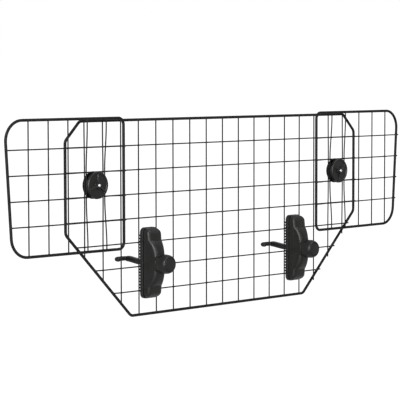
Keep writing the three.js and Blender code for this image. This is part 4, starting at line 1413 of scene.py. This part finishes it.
# The floor shows the shadow within its edge, and fades in from there to its middle. Its glow makes up
# for the lamps, which light it less than the backdrop.
FLOOR_EDGE = 2.4
FLOOR_MIDDLE = 0.8
FLOOR_GLOW = 1.08


def studio_floor(stage):
    """A pale floor that looks like the backdrop and keeps a little of the guard's shadow."""
    maker = FinishMaker("studio_white")
    tone = tuple(stage.background)
    grain = maker.noise(3, 2)
    maker.set(Base_Color=maker.tints(grain, tone, 1, 0.97), Roughness=0.9, Specular_IOR_Level=0.0)
    glow = maker.node("ShaderNodeEmission", None, {"Color": tone, "Strength": FLOOR_GLOW})
    near = maker.ramp(maker.distance_from_axis(), FLOOR_EDGE, FLOOR_MIDDLE)
    share_seen = maker.backdrop_share() * (1 - near * stage.shadow_depth)
    surface = maker.mix_shaders(share_seen, maker.shader.outputs[0], glow.outputs[0])
    maker.tree.links.new(surface, maker.tree.nodes["Material Output"].inputs["Surface"])
    return maker.material


def studio_world(stage):
    """An even dim light that looks like the backdrop's colour."""
    world = bpy.data.worlds.new("studio")
    world.use_nodes = True
    maker = NodeMaker(world.node_tree)
    even = world.node_tree.nodes["Background"]
    maker.fill(even.inputs["Color"], (1, 1, 1))
    maker.fill(even.inputs["Strength"], stage.world_level)
    backdrop = maker.node("ShaderNodeBackground", None, {"Color": tuple(stage.background), "Strength": 1.0})
    surface = maker.mix_shaders(maker.backdrop_share(), even.outputs[0], backdrop.outputs[0])
    world.node_tree.links.new(surface, world.node_tree.nodes["World Output"].inputs["Surface"])
    return world


# Name, place, width, height and power in watts of each lamp. All of them point at LAMP_AIM.
LAMP_AIM = (0, 0, 0.1)
LAMPS = (
    ("key_light", (-2.85, -1.75, 1.1), 0.9, 2.6, 230),
    ("fill_light", (-1.2, -3.4, 1.1), 0.5, 0.9, 30),
    ("top_light", (0.2, -1.2, 2.8), 2.0, 1.0, 50),
)


def area_light(name, place, width, height, power):
    data = bpy.data.lights.new(name, "AREA")
    data.shape = "RECTANGLE"
    data.size, data.size_y = width, height
    data.energy = power
    lamp = bpy.data.objects.new(name, data)
    lamp.location = place
    lamp.rotation_mode = "QUATERNION"
    lamp.rotation_quaternion = (Vector(LAMP_AIM) - Vector(place)).to_track_quat("-Z", "Y")
    bpy.context.scene.collection.objects.link(lamp)


class GUARD_OT_stage(bpy.types.Operator):
    """Sets the floor, the studio lights, the background and the camera"""

    bl_idname = "guard.stage"
    bl_label = "Studio Stage"

    def execute(self, context):
        stage = context.scene.guard_stage
        scene = context.scene
        scene.view_settings.view_transform = "Standard"
        scene.world = studio_world(stage)
        self.floor(stage)
        for lamp in LAMPS:
            area_light(*lamp)
        self.camera(scene, stage)
        return {"FINISHED"}

    def floor(self, stage):
        low = cad_box[0].z - stage.floor_drop
        half = FLOOR_HALF_WIDTH
        form = Form()
        places = ((-half, -half, low), (half, -half, low), (half, half, low), (-half, half, low))
        form.bm.faces.new([form.bm.verts.new(place) for place in places])
        floor = form.object("studio_floor")
        floor.data.materials.append(studio_floor(stage))

    def camera(self, scene, stage):
        yaw, pitch, roll = stage.camera_yaw, stage.camera_pitch, stage.camera_roll
        level = Vector((math.sin(yaw), math.cos(yaw), 0))
        right = Vector((math.cos(yaw), -math.sin(yaw), 0))
        forward = level * math.cos(pitch) - Z_AXIS * math.sin(pitch)
        up = level * math.sin(pitch) + Z_AXIS * math.cos(pitch)
        turned_right = right * math.cos(roll) + up * math.sin(roll)
        turned_up = up * math.cos(roll) - right * math.sin(roll)
        data = bpy.data.cameras.new("photo_camera")
        data.lens = stage.camera_lens
        data.sensor_width = SENSOR_WIDTH_MM
        data.clip_start, data.clip_end = CLIP_START, CLIP_END
        camera = bpy.data.objects.new("photo_camera", data)
        basis = Matrix((turned_right, turned_up, -forward)).transposed()
        camera.matrix_world = Matrix.Translation(stage.camera_place) @ basis.to_4x4()
        scene.collection.objects.link(camera)
        scene.camera = camera


class GUARD_PT_panel(bpy.types.Panel):
    """Lists the guard's builders and their sizes"""

    bl_idname = "GUARD_PT_panel"
    bl_label = "Car Dog Guard"
    bl_space_type = "VIEW_3D"
    bl_region_type = "UI"
    bl_category = "Dog Guard"

    def draw(self, context):
        for operator, group in STEPS:
            box = self.layout.box()
            box.operator(operator)
            settings = getattr(context.scene, group)
            for key in settings.__annotations__:
                box.prop(settings, key)


STEPS = (
    ("guard.frames", "guard_rods"),
    ("guard.grids", "guard_wires"),
    ("guard.clamps", "guard_clamps"),
    ("guard.brackets", "guard_brackets"),
    ("guard.hooks", "guard_hooks"),
    ("guard.knobs", "guard_knobs"),
    ("guard.stage", "guard_stage"),
)

GROUPS = {
    "guard_wires": GuardWireSizes,
    "guard_rods": GuardRodSizes,
    "guard_clamps": GuardClampSizes,
    "guard_brackets": GuardBracketSizes,
    "guard_hooks": GuardHookSizes,
    "guard_knobs": GuardKnobSizes,
    "guard_finishes": GuardFinishes,
    "guard_stage": GuardStageSizes,
}

CLASSES = (*GROUPS.values(), GUARD_OT_frames, GUARD_OT_grids, GUARD_OT_clamps, GUARD_OT_brackets,
           GUARD_OT_hooks, GUARD_OT_knobs, GUARD_OT_stage, GUARD_PT_panel)


def register():
    for cls in CLASSES:
        bpy.utils.register_class(cls)
    for name, cls in GROUPS.items():
        setattr(bpy.types.Scene, name, PointerProperty(type=cls))


def unregister():
    for name in GROUPS:
        delattr(bpy.types.Scene, name)
    for cls in reversed(CLASSES):
        bpy.utils.unregister_class(cls)


def main():
    register()
    FINISHES.update(make_finishes(bpy.context.scene.guard_finishes))
    bpy.ops.guard.stage()
    bpy.ops.guard.frames()
    bpy.ops.guard.grids()
    bpy.ops.guard.clamps()
    bpy.ops.guard.brackets()
    bpy.ops.guard.hooks()
    bpy.ops.guard.knobs()


if __name__ == "__main__":
    main()
